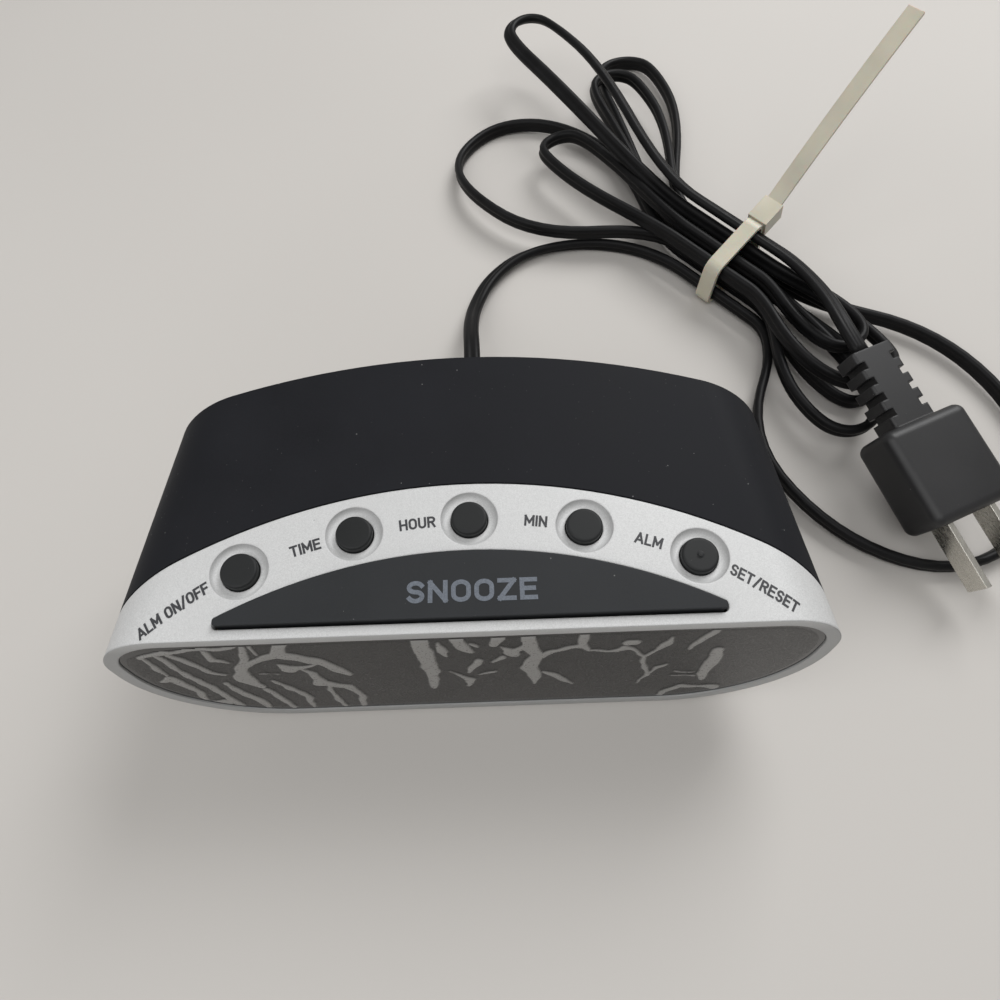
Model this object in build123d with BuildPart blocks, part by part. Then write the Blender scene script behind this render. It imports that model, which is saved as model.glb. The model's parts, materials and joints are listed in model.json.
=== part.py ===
from build123d import *
import os
from math import cos, degrees, pi, radians, sin, sqrt, tan

# Digital alarm clock with a tied mains cord. Millimetres, +Z up, the face looks towards -Y.
# The origin is on the surface that the clock stands on, under the middle of its housing.

# Housing
WIDTH = 145
DEPTH = 67
TOP_Z = 48
BASE_Z = 1.5
FACE_LEAN = 7
SIDE_TAPER = 8.5
TOP_CORNER_R = 13.5
BOTTOM_CORNER_R = 30
REAR_BOW_R = 160
WALL = 2
FACE_WALL = 3
FORM_MARGIN = 6

# Seam between the bezel and the shell, set back from the face's top edge, and the lip inside it
SEAM_BACK_SETBACK = 30.1
SEAM_SIDE_SETBACK = 4.63
SEAM_Z = 33
SEAM_GAP = 0.3
SEAM_LAP = 0.2
LIP_WALL = 1
LIP_REACH = 2.5
LIP_FIT = 0.15

# Lens and its film
RIM = 2.4
SIDE_RIM = 3.4
LENS_SEAT = 1.7
LENS_SINK = 0.3
LENS_FIT = 0.15
FILM_THICK = 0.12
FILM_BORDER = 1.2

# Buttons, on an arc that shares its centre with the seam
BUTTON_NAMES = ("alarm_switch", "time", "hour", "minute", "alarm_set")
BUTTON_SETBACK = 7.5
BUTTON_PITCH = 22.54
BUTTON_D = 7.1
BUTTON_RISE = 0.5
BUTTON_EDGE = 0.5
BUTTON_PLAY = 0.2
BUTTON_FLANGE_D = 9.2
BUTTON_FLANGE_THICK = 1
BUTTON_TRAVEL = 0.7
FLANGE_FIT = 0.1
STEM_D = 3.2
PIP_D = 1.1
PIP_RISE = 0.35
DISH_D = 11.2
DISH_DEPTH = 1.2
DISH_FLOOR = 1.5
DISH_BOW = 0.45

# Snooze bar
SNOOZE_SETBACK = 14.6
SNOOZE_TIP_CUT = 2.4
SNOOZE_FRONT_SETBACK = 2.5
SNOOZE_TIP_R = 0.6
SNOOZE_RISE = 1.3
SNOOZE_GAP = 0.5
SNOOZE_SKIN = 1.8
SNOOZE_FLANGE = 1
SNOOZE_FLANGE_THICK = 1.2
SNOOZE_TRAVEL = 1
SNOOZE_SWITCH_X = 22
SNOOZE_SWITCH_SETBACK = 7.6

# Key board and its switches
BOARD_THICK = 1.6
KEY_BOARD_DROP = 10.5
KEY_BOARD_SETBACK = 2.5
KEY_BOARD_MARGIN = 11.3
KEY_BOARD_FRONT_SETBACK = 3.8
SWITCH_SIZE = 6
SWITCH_HEIGHT = 3.5
SWITCH_BORE_ROOM = 0.2
PLUNGER_D = 3.4
PLUNGER_FIT = 0.1
PLUNGER_SINK = 1.6
POST_D = 6
POST_STEPS = (-1.5, -0.5, 0.5, 1.5)
BOARD_SCREW_D = 2.2
BOARD_SCREW_HEAD_D = 4
BOARD_SCREW_HEAD = 1.4
BOARD_SCREW_LONG = 6
THREAD_FIT = 0.05

# Display block and main board, parallel to the face
DISPLAY_WIDE = 66
DISPLAY_HIGH = 21
DISPLAY_THICK = 7.5
DISPLAY_DROP = 24.5
DISPLAY_FIT = 0.4
DISPLAY_FRONT_DEPTH = 2.2
DIGIT_HIGH = 15
DIGIT_WIDE = 8
DIGIT_PITCH = 14
DIGIT_GAP_X = 2
SEGMENT_WIDE = 1.8
SEGMENT_GAP = 0.4
SEGMENT_THICK = 0.25
MAIN_BOARD_EDGE = 3.5
MAIN_BOARD_HIGH = 28
MAIN_BOARD_DROP = 27.8
MAIN_POST_MARGIN = 4
MAIN_POST_Y = 11
CHIP_SIZE = (36, 9, 3.6)
CHIP_PLACE = (0, 5)
BUZZER_D = 14
BUZZER_HIGH = 8
BUZZER_INSET = 5
BUZZER_LIFT = 2
CAP_D = 8
CAP_HIGH = 11
CAP_INSETS = (8.3, 0)
CAP_LIFTS = (5, 2)
DIODE_D = 2.6
DIODE_LONG = 5
DIODE_PLACES = ((4, -4), (9, -4), (14, -4), (19, -4))
CRYSTAL_SIZE = (8, 3.2, 3)
CRYSTAL_PLACE = (22.5, 11.2)

# Transformer
CORE_SIZE = (32, 14, 26)
CORE_CENTRE = (19.5, 13)
CORE_LIFT = 2
COIL_SIZE = (18, 22, 15)
COIL_FIT = 0.1
BRACKET_THICK = 1
BRACKET_WIDE = 8
BRACKET_FOOT = 6
BRACKET_FIT = 0.05
PAD_MARGIN = 3
FOOT_BOSS_D = 5
LEAD_D = 1.6
LEAD_BEND_R = 2.5
SECONDARY_X = (24, 27)
SECONDARY_Z = 13
PRIMARY_SPREAD = 1.4
RIBBON_X = -8
RIBBON_WIDE = 10
RIBBON_THICK = 1
RIBBON_SETBACK = 15.8
RIBBON_DROP = 5
RIBBON_BEND_R = 1.5

# Backup cells, their box and the sliding door below them
CELL_D = 10.2
CELL_LONG = 44.2
CELL_GAP = 1.2
CELL_SIDE_ROOM = 1.2
CELL_TOP_ROOM = 1.8
CELL_END_ROOM = 0.8
CELL_FIT = 0.2
BOX_GAP = 1.25
BOX_WALL = 1.2
BOX_FRONT_Y = -18.4
DOOR_FIT = 0.3
DOOR_TONGUE = 1.2
DOOR_TONGUE_THICK = 0.9
DOOR_SLIDE_FIT = 0.1
DOOR_LIP_TOP = 10
GRIP_RIDGES = 4
GRIP_PITCH = 1.6
GRIP_WIDE = 12
GRIP_DEEP = 0.5
CONTACT_SIZE = (8.4, 0.4, 9)

# Feet and case screws
FOOT_D = 8
FOOT_SINK = 0.7
FOOT_SOCKET_WALL = 1.2
FOOT_FIT = 0.1
FOOT_INSETS = (34.5, 33)
FOOT_YS = (-16, 12)
CASE_POST_ROOM = 0.8
CASE_POST_INSET = 16.5
CASE_SCREW_ZS = (12, 29)
CASE_POST_D = 7.4
CASE_JOIN_Y = -8
CASE_SEAT = 3
CASE_SCREW_D = 3
CASE_SCREW_LONG = 14
CASE_HEAD_D = 5.4
CASE_HEAD = 2
CASE_HOLE_FIT = 0.3
VENT_SIZE = (1.6, 11)
VENT_COUNT = 8
VENT_PITCH = 3.4
VENT_CENTRE = (20, 36)
SOUND_HOLE_D = 2
SOUND_PITCH = 4
SOUND_ROWS = 3
SOUND_COLUMNS = 6
SOUND_CENTRE = (-22, 30)

# Cord, the bushing that it leaves through, and its plug
CORD_D = 4
EXIT_X = 0
EXIT_Z = 14
BUSHING_D = 8
BUSHING_FLANGE_D = 10.6
BUSHING_FLANGE = 1.5
BUSHING_FIT = 0.1
BUSHING_TAIL = 16
BUSHING_TIP_D = 6
BUSHING_INSIDE = 3

# Hank: where it is tied, which way it lies, and how the passes stack under the tie
TIE_X = 80.5
TIE_Y = 96
HANK_BEARING = -48
TIE_WIDE = 4.8
TIE_THICK = 1.2
TIE_ROOM = 0.3
TIE_HEAD = (6.4, 7.5, 6)
TIE_HEAD_TILT = 20
TIE_CORNERS = (0, 1, 10, 7)
TIE_TAIL_LONG = 60
TIE_TAIL_SLOPE = 48
TIE_TAIL_BEND_R = 300
WAIST_HALF = 7
SLOT_PITCH = 6
ROW_PITCH = 4.6
CORD_LIFT = 0.2
SHOULDER_ROUND = 1.15

# Each pass under the tie, as column and row, in the order that the cord takes them
PASSES = (
    (-1.5, 0), (1.5, 0), (0.5, 0), (-0.5, 0), (-1, 1), (0, 1),
    (1, 1), (-1.5, 2), (-0.5, 2), (0.5, 2), (0.75, 3),
)
# Each loop's reach from the waist, turn to the left, half width, rise of its far end, and the share
# of the waist's height that it keeps at its shoulders
LOOPS = (
    (104, -7.5, 35, 0, 0.8), (103, -30, 12, 0, 0.8), (50, -9, 8, 0, 0.8), (90, 9, 24, 0, 0.75),
    (58, -19, 10, 5.8, 0.5), (93, -25, 9, 6.4, 0.5), (50, -7, 12.5, 10.8, 0.8), (72, -4, 8, 6, 0.35),
    (38, -5, 7, 11, 0.8), (117, -12.5, 10, 21, 0.08),
)
GAP_STEP = 2
GAP_SKIP = 10

# Route of the cord from the bushing to the hank, and from the hank to the plug
LEAD_ROUTE = (
    (0, 62, 14), (-0.5, 74, 9.5), (0.8, 86, 4), (5.5, 97.5, 2.2), (14.5, 106, 2.2), (27, 109.5, 2.2),
    (41, 109.5, 2.2), (54, 106.5, 2.4),
)
TAIL_ROUTE = ((97.6, 77.5, 19.5), (99.2, 67, 22))
BEND_SHARE = 0.45
SQUARE_RUN = 8

# Plug, lying on the loops beside the tie
PLUG_X = 103
PLUG_Y = 50
PLUG_Z = 22
PLUG_BEARING = -68
PLUG_PITCH = 10.5
PLUG_RELIEF = (22, 12, 8)
PLUG_RELIEF_EDGE = 1
PLUG_SLOTS = 4
PLUG_SLOT = 2
PLUG_SLOT_DEEP = 2.2
PLUG_SLOT_PITCH = 4.6
PLUG_BODY = (26, 24, 14)
PLUG_EDGE = 2.5
BLADE_SIZE = (17, 1.5, 6.4)
BLADE_PITCH = 12.7

# Places that follow from the sizes above
LEAN = radians(FACE_LEAN)
FACE_FOOT_Y = -DEPTH / 2
FACE_TOP_Y = FACE_FOOT_Y + (TOP_Z - BASE_Z) * tan(LEAN)
FACE_HIGH = (TOP_Z - BASE_Z) / cos(LEAN)
REAR_Y = DEPTH / 2
REAR_CENTRE_Y = REAR_Y - REAR_BOW_R
FACE = Plane(origin=(0, FACE_TOP_Y, TOP_Z), x_dir=(1, 0, 0), z_dir=(0, -cos(LEAN), sin(LEAN)))
SIDE_X = WIDTH / 2 - SEAM_GAP
SEAM_BOW = SEAM_BACK_SETBACK - SEAM_SIDE_SETBACK
SEAM_R = (SIDE_X**2 + SEAM_BOW**2) / (2 * SEAM_BOW)
ARC_CENTRE_Y = FACE_TOP_Y + SEAM_BACK_SETBACK - SEAM_R
BUTTON_ARC_R = SEAM_R - BUTTON_SETBACK
BUTTON_STEP = degrees(BUTTON_PITCH / BUTTON_ARC_R)
SNOOZE_R = SEAM_R - SNOOZE_SETBACK
KEY_BOARD_R = SEAM_R - KEY_BOARD_SETBACK
SIDE_SLOPE = tan(radians(SIDE_TAPER))
SIDE_AT_CENTRE = WIDTH / 2 - (ARC_CENTRE_Y - FACE_FOOT_Y) * SIDE_SLOPE
SIDE_REACH = sqrt((1 + SIDE_SLOPE**2) * SEAM_R**2 - SIDE_AT_CENTRE**2)
# The seam's arc meets the tapered side here, and the slab below it starts just behind
SIDE_JOIN_Y = ARC_CENTRE_Y + (SIDE_AT_CENTRE * SIDE_SLOPE + SIDE_REACH) / (1 + SIDE_SLOPE**2)
SIDE_DEPTH = (SIDE_JOIN_Y + SEAM_LAP - FACE_TOP_Y + (TOP_Z - SEAM_Z) * tan(LEAN)) * cos(LEAN)
FLOOR_INSIDE_Z = BASE_Z + WALL


def on_arc(radius, angle):
    """A place at an angle from straight back, on an arc about the seam's centre."""
    return (radius * sin(radians(angle)), ARC_CENTRE_Y + radius * cos(radians(angle)))


BUTTON_PLACES = [on_arc(BUTTON_ARC_R, BUTTON_STEP * step) for step in (-2, -1, 0, 1, 2)]
POST_PLACES = [on_arc(BUTTON_ARC_R, BUTTON_STEP * step) for step in POST_STEPS]
SNOOZE_FRONT_Y = FACE_TOP_Y + SNOOZE_FRONT_SETBACK
SNOOZE_HALF = sqrt(SNOOZE_R**2 - (SNOOZE_FRONT_Y - ARC_CENTRE_Y) ** 2) - SNOOZE_TIP_CUT
SNOOZE_PLACES = [(x, FACE_TOP_Y + SNOOZE_SWITCH_SETBACK) for x in (-SNOOZE_SWITCH_X, SNOOZE_SWITCH_X)]
KEY_BOARD_Z = TOP_Z - KEY_BOARD_DROP
KEY_BOARD_FRONT_Y = FACE_TOP_Y + KEY_BOARD_FRONT_SETBACK
KEY_BOARD_HALF = BUTTON_PLACES[-1][0] + KEY_BOARD_MARGIN
SWITCH_TOP_Z = KEY_BOARD_Z + SWITCH_HEIGHT
DISH_UNDER_Z = TOP_Z - DISH_DEPTH - DISH_FLOOR
FLANGE_TOP_Z = DISH_UNDER_Z - FLANGE_FIT
STEM_FOOT_Z = FLANGE_TOP_Z - BUTTON_FLANGE_THICK - BUTTON_TRAVEL
SNOOZE_TOP_Z = TOP_Z + SNOOZE_RISE
SNOOZE_FLANGE_Z = TOP_Z - WALL - FLANGE_FIT
SNOOZE_FOOT_Z = SNOOZE_FLANGE_Z - SNOOZE_FLANGE_THICK
DISPLAY_BACK_DEPTH = DISPLAY_FRONT_DEPTH + DISPLAY_THICK
MAIN_BOARD_BACK_DEPTH = DISPLAY_BACK_DEPTH + BOARD_THICK
MAIN_FRONT = FACE.offset(-DISPLAY_BACK_DEPTH)
MAIN_BACK = FACE.offset(-MAIN_BOARD_BACK_DEPTH)
MAIN_POST_X = DISPLAY_WIDE / 2 + MAIN_POST_MARGIN
MAIN_BOARD_WIDE = 2 * (MAIN_POST_X + MAIN_BOARD_EDGE)
MAIN_POSTS = [
    (x, y - MAIN_BOARD_DROP)
    for x in (-MAIN_POST_X, MAIN_POST_X) for y in (-MAIN_POST_Y, MAIN_POST_Y)
]
BUZZER_PLACE = (MAIN_POST_X - BUZZER_INSET, BUZZER_LIFT)
CAP_PLACES = [(inset - MAIN_POST_X, lift) for inset, lift in zip(CAP_INSETS, CAP_LIFTS)]
CASE_SCREW_XS = (MAIN_BOARD_WIDE / 2 + CASE_POST_ROOM + CASE_POST_D / 2, WIDTH / 2 - CASE_POST_INSET)
CASE_SCREW_PLACES = [(side * x, z) for x, z in zip(CASE_SCREW_XS, CASE_SCREW_ZS) for side in (-1, 1)]
FOOT_PLACES = [(side * (WIDTH / 2 - inset), y) for inset, y in zip(FOOT_INSETS, FOOT_YS) for side in (-1, 1)]
RIBBON_BACK_Y = FACE_TOP_Y + RIBBON_SETBACK
EXIT_Y = REAR_CENTRE_Y + sqrt(REAR_BOW_R**2 - EXIT_X**2)
BUSHING_END_Y = EXIT_Y + BUSHING_FLANGE + BUSHING_TAIL

os.makedirs("parts", exist_ok=True)


def write(part, name):
    """Label a finished piece and write it under its node's name."""
    part.label = name
    export_step(part, f"parts/{name}.step")


def rounded_outline(half_width, top, bottom, top_radius, bottom_radius):
    """A face that is flat above and below, with small upper and large lower corners."""
    with BuildSketch() as outline:
        with BuildLine():
            Line((0, top), (half_width - top_radius, top))
            CenterArc((half_width - top_radius, top - top_radius), top_radius, 90, -90)
            Line((half_width, top - top_radius), (half_width, bottom + bottom_radius))
            CenterArc((half_width - bottom_radius, bottom + bottom_radius), bottom_radius, 0, -90)
            Line((half_width - bottom_radius, bottom), (0, bottom))
            mirror(about=Plane.YZ)
        make_face()
    return outline.sketch


def housing_form(inset, face_inset):
    """The whole housing's form, drawn in by an inset all round and by another at the face."""
    with BuildPart() as form:
        for y in (FACE_FOOT_Y - FORM_MARGIN, REAR_Y + FORM_MARGIN):
            half_width = WIDTH / 2 - (y - FACE_FOOT_Y) * SIDE_SLOPE - inset
            with BuildSketch(Plane.XZ.offset(-y)):
                add(rounded_outline(
                    half_width, TOP_Z - inset, BASE_Z + inset, TOP_CORNER_R - inset, BOTTOM_CORNER_R - inset
                ))
        loft(ruled=True)
        with BuildSketch(Plane.XY):
            with Locations((0, REAR_CENTRE_Y)):
                Circle(REAR_BOW_R - inset)
        extrude(amount=2 * TOP_Z, mode=Mode.INTERSECT)
        split(bisect_by=FACE.offset(-face_inset), keep=Keep.BOTTOM)
    return form.part


def bezel_region(grow):
    """The space in front of the seam: a slab behind the face, and a crescent above the seam's height."""
    with BuildPart() as region:
        with BuildSketch(FACE.offset(-SIDE_DEPTH - grow)):
            Rectangle(2 * WIDTH, 4 * TOP_Z)
        extrude(amount=SIDE_DEPTH + grow + FORM_MARGIN)
        with BuildSketch(Plane.XY.offset(SEAM_Z - grow)):
            with Locations((0, ARC_CENTRE_Y)):
                Circle(SEAM_R + grow)
        extrude(amount=TOP_Z)
    return region.part


def lens_outline(inset):
    """The lens's outline on the face, drawn in by an inset."""
    return rounded_outline(
        WIDTH / 2 - SIDE_RIM - inset, -RIM - inset, -FACE_HIGH + RIM + inset,
        TOP_CORNER_R - RIM - inset, BOTTOM_CORNER_R - RIM - inset,
    )


def snooze_outline(grow, tip_radius):
    """The snooze bar's crescent, straight in front and round behind, grown all round."""
    with Locations((0, ARC_CENTRE_Y)):
        Circle(SNOOZE_R + grow)
    with Locations((0, SNOOZE_FRONT_Y - grow)):
        Rectangle(
            2 * (SNOOZE_HALF + grow), SNOOZE_R, align=(Align.CENTER, Align.MIN), mode=Mode.INTERSECT
        )
    if tip_radius > 0:
        fillet(vertices(), tip_radius)


def dish():
    """The round recess about a button, with a bowed side, as the space that it takes."""
    floor_r = BUTTON_D / 2 + 2 * BUTTON_PLAY
    with BuildPart() as recess:
        with BuildSketch(Plane.XZ):
            with BuildLine():
                Polyline(
                    (DISH_D / 2, 0), (DISH_D / 2, WALL), (0, WALL),
                    (0, -DISH_DEPTH), (floor_r, -DISH_DEPTH),
                )
                SagittaArc((floor_r, -DISH_DEPTH), (DISH_D / 2, 0), -DISH_BOW)
            make_face()
        revolve(axis=Axis.Z)
        with Locations((0, 0, -DISH_DEPTH)):
            Cylinder(BUTTON_D / 2 + BUTTON_PLAY, 2 * DISH_FLOOR)
    return recess.part


def case_bosses(diameter):
    """Round bars along the case screws, from the screw joint forward to the face wall."""
    with BuildPart() as bosses:
        with BuildSketch(Plane.XZ.offset(-CASE_JOIN_Y)):
            with Locations(*CASE_SCREW_PLACES):
                Circle(diameter / 2)
        extrude(amount=DEPTH)
        split(bisect_by=FACE.offset(-(LENS_SEAT + FACE_WALL) / 2), keep=Keep.BOTTOM)
    return bosses.part


def seam_lip():
    """The wall inside the seam: thick in the bezel, then a tongue that runs on inside the shell."""
    inside = housing_form(WALL + LIP_FIT + LIP_WALL, FACE_WALL)
    start = bezel_region(-LIP_REACH)
    with BuildPart() as lip:
        add(housing_form(WALL + LIP_FIT, FACE_WALL))
        add(bezel_region(LIP_REACH), mode=Mode.INTERSECT)
        add(inside, mode=Mode.SUBTRACT)
        add(start, mode=Mode.SUBTRACT)
    with BuildPart() as root:
        add(housing_form(WALL / 2, FACE_WALL))
        add(bezel_region(0), mode=Mode.INTERSECT)
        add(inside, mode=Mode.SUBTRACT)
        add(start, mode=Mode.SUBTRACT)
    return lip.part + root.part


# Front bezel: face frame, control panel and the posts behind them
with BuildPart() as front_bezel:
    add(housing_form(0, 0))
    add(housing_form(WALL, FACE_WALL), mode=Mode.SUBTRACT)
    add(bezel_region(0), mode=Mode.INTERSECT)
    add(seam_lip())
    with BuildSketch(FACE):
        add(lens_outline(0))
    extrude(amount=-LENS_SEAT, mode=Mode.SUBTRACT)
    with BuildSketch(FACE):
        with Locations((0, -DISPLAY_DROP)):
            Rectangle(DISPLAY_WIDE + 2 * DISPLAY_FIT, DISPLAY_HIGH + 2 * DISPLAY_FIT)
    extrude(amount=-2 * FACE_WALL, mode=Mode.SUBTRACT)
    with BuildSketch(Plane.XY.offset(DISH_UNDER_Z)):
        with Locations(*BUTTON_PLACES):
            Circle(DISH_D / 2 - DISH_BOW)
    extrude(amount=TOP_Z - WALL / 2 - DISH_UNDER_Z)
    with Locations(*[(x, y, TOP_Z) for x, y in BUTTON_PLACES]):
        add(dish(), mode=Mode.SUBTRACT)
    with BuildSketch(Plane.XY.offset(SNOOZE_FOOT_Z - SNOOZE_TRAVEL - SNOOZE_GAP)):
        snooze_outline(SNOOZE_GAP, SNOOZE_TIP_R + SNOOZE_GAP)
    extrude(amount=TOP_Z - SNOOZE_FOOT_Z + SNOOZE_TRAVEL + 2 * SNOOZE_GAP, mode=Mode.SUBTRACT)
    with BuildSketch(Plane.XY.offset(KEY_BOARD_Z)):
        with Locations(*POST_PLACES):
            Circle(POST_D / 2)
    extrude(amount=TOP_Z - WALL / 2 - KEY_BOARD_Z)
    with BuildSketch(Plane.XY.offset(KEY_BOARD_Z)):
        with Locations(*POST_PLACES):
            Circle(BOARD_SCREW_D / 2 + THREAD_FIT)
    extrude(amount=BOARD_SCREW_LONG, mode=Mode.SUBTRACT)
    with BuildSketch(MAIN_FRONT):
        with Locations(*MAIN_POSTS):
            Circle(POST_D / 2)
    extrude(amount=DISPLAY_BACK_DEPTH - FACE_WALL + LENS_SEAT / 4)
    with BuildSketch(MAIN_FRONT):
        with Locations(*MAIN_POSTS):
            Circle(BOARD_SCREW_D / 2 + THREAD_FIT)
    extrude(amount=BOARD_SCREW_LONG, mode=Mode.SUBTRACT)
    add(case_bosses(CASE_POST_D))
    with BuildSketch(Plane.XZ.offset(-CASE_JOIN_Y)):
        with Locations(*CASE_SCREW_PLACES):
            Circle(CASE_SCREW_D / 2 + THREAD_FIT)
    extrude(amount=CASE_SCREW_LONG - CASE_SEAT + CASE_HOLE_FIT, mode=Mode.SUBTRACT)
write(front_bezel.part, "front_bezel")

# Lens and the clear film that covers it
with BuildPart() as display_lens:
    with BuildSketch(FACE.offset(-LENS_SEAT)):
        add(lens_outline(LENS_FIT))
    extrude(amount=LENS_SEAT - LENS_SINK)
write(display_lens.part, "display_lens")

with BuildPart() as lens_film:
    with BuildSketch(FACE.offset(-LENS_SINK)):
        add(lens_outline(FILM_BORDER))
    extrude(amount=FILM_THICK)
write(lens_film.part, "lens_film")

# Buttons and the switch plungers under them
for name, (x, y) in zip(BUTTON_NAMES, BUTTON_PLACES):
    with BuildPart() as button:
        with Locations((x, y, FLANGE_TOP_Z - BUTTON_FLANGE_THICK)):
            Cylinder(BUTTON_D / 2, TOP_Z + BUTTON_RISE - FLANGE_TOP_Z + BUTTON_FLANGE_THICK,
                     align=(Align.CENTER, Align.CENTER, Align.MIN))
        fillet(button.edges().sort_by(Axis.Z)[-1], BUTTON_EDGE)
        with Locations((x, y, FLANGE_TOP_Z)):
            Cylinder(BUTTON_FLANGE_D / 2, BUTTON_FLANGE_THICK, align=(Align.CENTER, Align.CENTER, Align.MAX))
        with Locations((x, y, STEM_FOOT_Z)):
            Cylinder(STEM_D / 2, BUTTON_TRAVEL, align=(Align.CENTER, Align.CENTER, Align.MIN))
        if name == BUTTON_NAMES[-1]:
            with Locations((x, y, TOP_Z + BUTTON_RISE)):
                Cylinder(PIP_D / 2, PIP_RISE, align=(Align.CENTER, Align.CENTER, Align.MIN))
    write(button.part, f"{name}_button")

    with BuildPart() as plunger:
        with Locations((x, y, STEM_FOOT_Z)):
            Cylinder(PLUNGER_D / 2, STEM_FOOT_Z - SWITCH_TOP_Z + PLUNGER_SINK,
                     align=(Align.CENTER, Align.CENTER, Align.MAX))
    write(plunger.part, f"{name}_plunger")

# Snooze bar: a hollow crescent with a flange behind and two stems
with BuildPart() as snooze_bar:
    with BuildSketch(Plane.XY.offset(SNOOZE_FOOT_Z)):
        snooze_outline(0, SNOOZE_TIP_R)
    extrude(amount=SNOOZE_TOP_Z - SNOOZE_FOOT_Z)
    with BuildSketch(Plane.XY.offset(SNOOZE_FOOT_Z)):
        snooze_outline(SNOOZE_GAP + SNOOZE_FLANGE, 0)
        with Locations((0, SNOOZE_FRONT_Y + SNOOZE_FLANGE)):
            Rectangle(WIDTH, SNOOZE_R, align=(Align.CENTER, Align.MIN), mode=Mode.INTERSECT)
    extrude(amount=SNOOZE_FLANGE_THICK)
    with BuildSketch(Plane.XY.offset(SNOOZE_FOOT_Z)):
        snooze_outline(-SNOOZE_SKIN, 0)
    extrude(amount=SNOOZE_TOP_Z - SNOOZE_SKIN - SNOOZE_FOOT_Z, mode=Mode.SUBTRACT)
    with BuildSketch(Plane.XY.offset(STEM_FOOT_Z)):
        with Locations(*SNOOZE_PLACES):
            Circle(STEM_D / 2)
    extrude(amount=SNOOZE_TOP_Z - SNOOZE_SKIN / 2 - STEM_FOOT_Z)
write(snooze_bar.part, "snooze_bar")

with BuildPart() as snooze_plungers:
    with BuildSketch(Plane.XY.offset(SWITCH_TOP_Z - PLUNGER_SINK)):
        with Locations(*SNOOZE_PLACES):
            Circle(PLUNGER_D / 2)
    extrude(amount=STEM_FOOT_Z - SWITCH_TOP_Z + PLUNGER_SINK)
write(snooze_plungers.part, "snooze_plungers")

# Key board under the panel, with one switch body under each stem
with BuildPart() as key_board:
    with BuildSketch(Plane.XY.offset(KEY_BOARD_Z - BOARD_THICK)):
        with Locations((0, ARC_CENTRE_Y)):
            Circle(KEY_BOARD_R)
        with Locations((0, KEY_BOARD_FRONT_Y)):
            Rectangle(2 * KEY_BOARD_HALF, KEY_BOARD_R, align=(Align.CENTER, Align.MIN), mode=Mode.INTERSECT)
        with Locations(*POST_PLACES):
            Circle(BOARD_SCREW_D / 2 + THREAD_FIT, mode=Mode.SUBTRACT)
    extrude(amount=BOARD_THICK)
write(key_board.part, "key_board")

with BuildPart() as key_switches:
    with BuildSketch(Plane.XY.offset(KEY_BOARD_Z)):
        with Locations(*BUTTON_PLACES, *SNOOZE_PLACES):
            Rectangle(SWITCH_SIZE, SWITCH_SIZE)
    extrude(amount=SWITCH_HEIGHT)
    with BuildSketch(Plane.XY.offset(SWITCH_TOP_Z)):
        with Locations(*BUTTON_PLACES, *SNOOZE_PLACES):
            Circle(PLUNGER_D / 2 + PLUNGER_FIT)
    extrude(amount=-(PLUNGER_SINK + SNOOZE_TRAVEL + SWITCH_BORE_ROOM), mode=Mode.SUBTRACT)
write(key_switches.part, "key_switches")


def screws(plane, places, diameter, long, head_diameter, head):
    """Pan head screws that stand on a plane with their shanks along its normal."""
    with BuildPart() as group:
        with BuildSketch(plane):
            with Locations(*places):
                Circle(diameter / 2)
        extrude(amount=long)
        with BuildSketch(plane):
            with Locations(*places):
                Circle(head_diameter / 2)
        extrude(amount=-head)
    return group.part


write(
    screws(Plane.XY.offset(KEY_BOARD_Z - BOARD_THICK), POST_PLACES, BOARD_SCREW_D,
           BOARD_SCREW_LONG, BOARD_SCREW_HEAD_D, BOARD_SCREW_HEAD),
    "key_board_screws",
)

# Display block, its segments and the main board behind it
with BuildPart() as main_board:
    with BuildSketch(MAIN_BACK):
        with Locations((0, -MAIN_BOARD_DROP)):
            Rectangle(MAIN_BOARD_WIDE, MAIN_BOARD_HIGH)
        with Locations(*MAIN_POSTS):
            Circle(BOARD_SCREW_D / 2 + THREAD_FIT, mode=Mode.SUBTRACT)
    extrude(amount=BOARD_THICK)
write(main_board.part, "main_board")
write(
    screws(MAIN_BACK, MAIN_POSTS, BOARD_SCREW_D, BOARD_SCREW_LONG, BOARD_SCREW_HEAD_D, BOARD_SCREW_HEAD),
    "main_board_screws",
)

with BuildPart() as led_display:
    with BuildSketch(MAIN_FRONT):
        with Locations((0, -DISPLAY_DROP)):
            Rectangle(DISPLAY_WIDE, DISPLAY_HIGH)
    extrude(amount=DISPLAY_THICK)
write(led_display.part, "led_display")


def segment(long):
    """One bar of a digit, pointed at both ends, lying along X."""
    half = long / 2
    side = SEGMENT_WIDE / 2
    with BuildSketch() as bar:
        with BuildLine():
            Polyline(
                (-half, 0), (side - half, side), (half - side, side),
                (half, 0), (half - side, -side), (side - half, -side),
                close=True,
            )
        make_face()
    return bar.sketch


def digit_bars(digit_x):
    """The places of a digit's bars that lie across, and of those that stand up."""
    across = [Location((digit_x, y)) for y in (-DIGIT_HIGH / 2, 0, DIGIT_HIGH / 2)]
    upright = [
        Location((digit_x + x, y), (0, 0, 90))
        for x in (-DIGIT_WIDE / 2, DIGIT_WIDE / 2) for y in (-DIGIT_HIGH / 4, DIGIT_HIGH / 4)
    ]
    return across, upright


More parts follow.
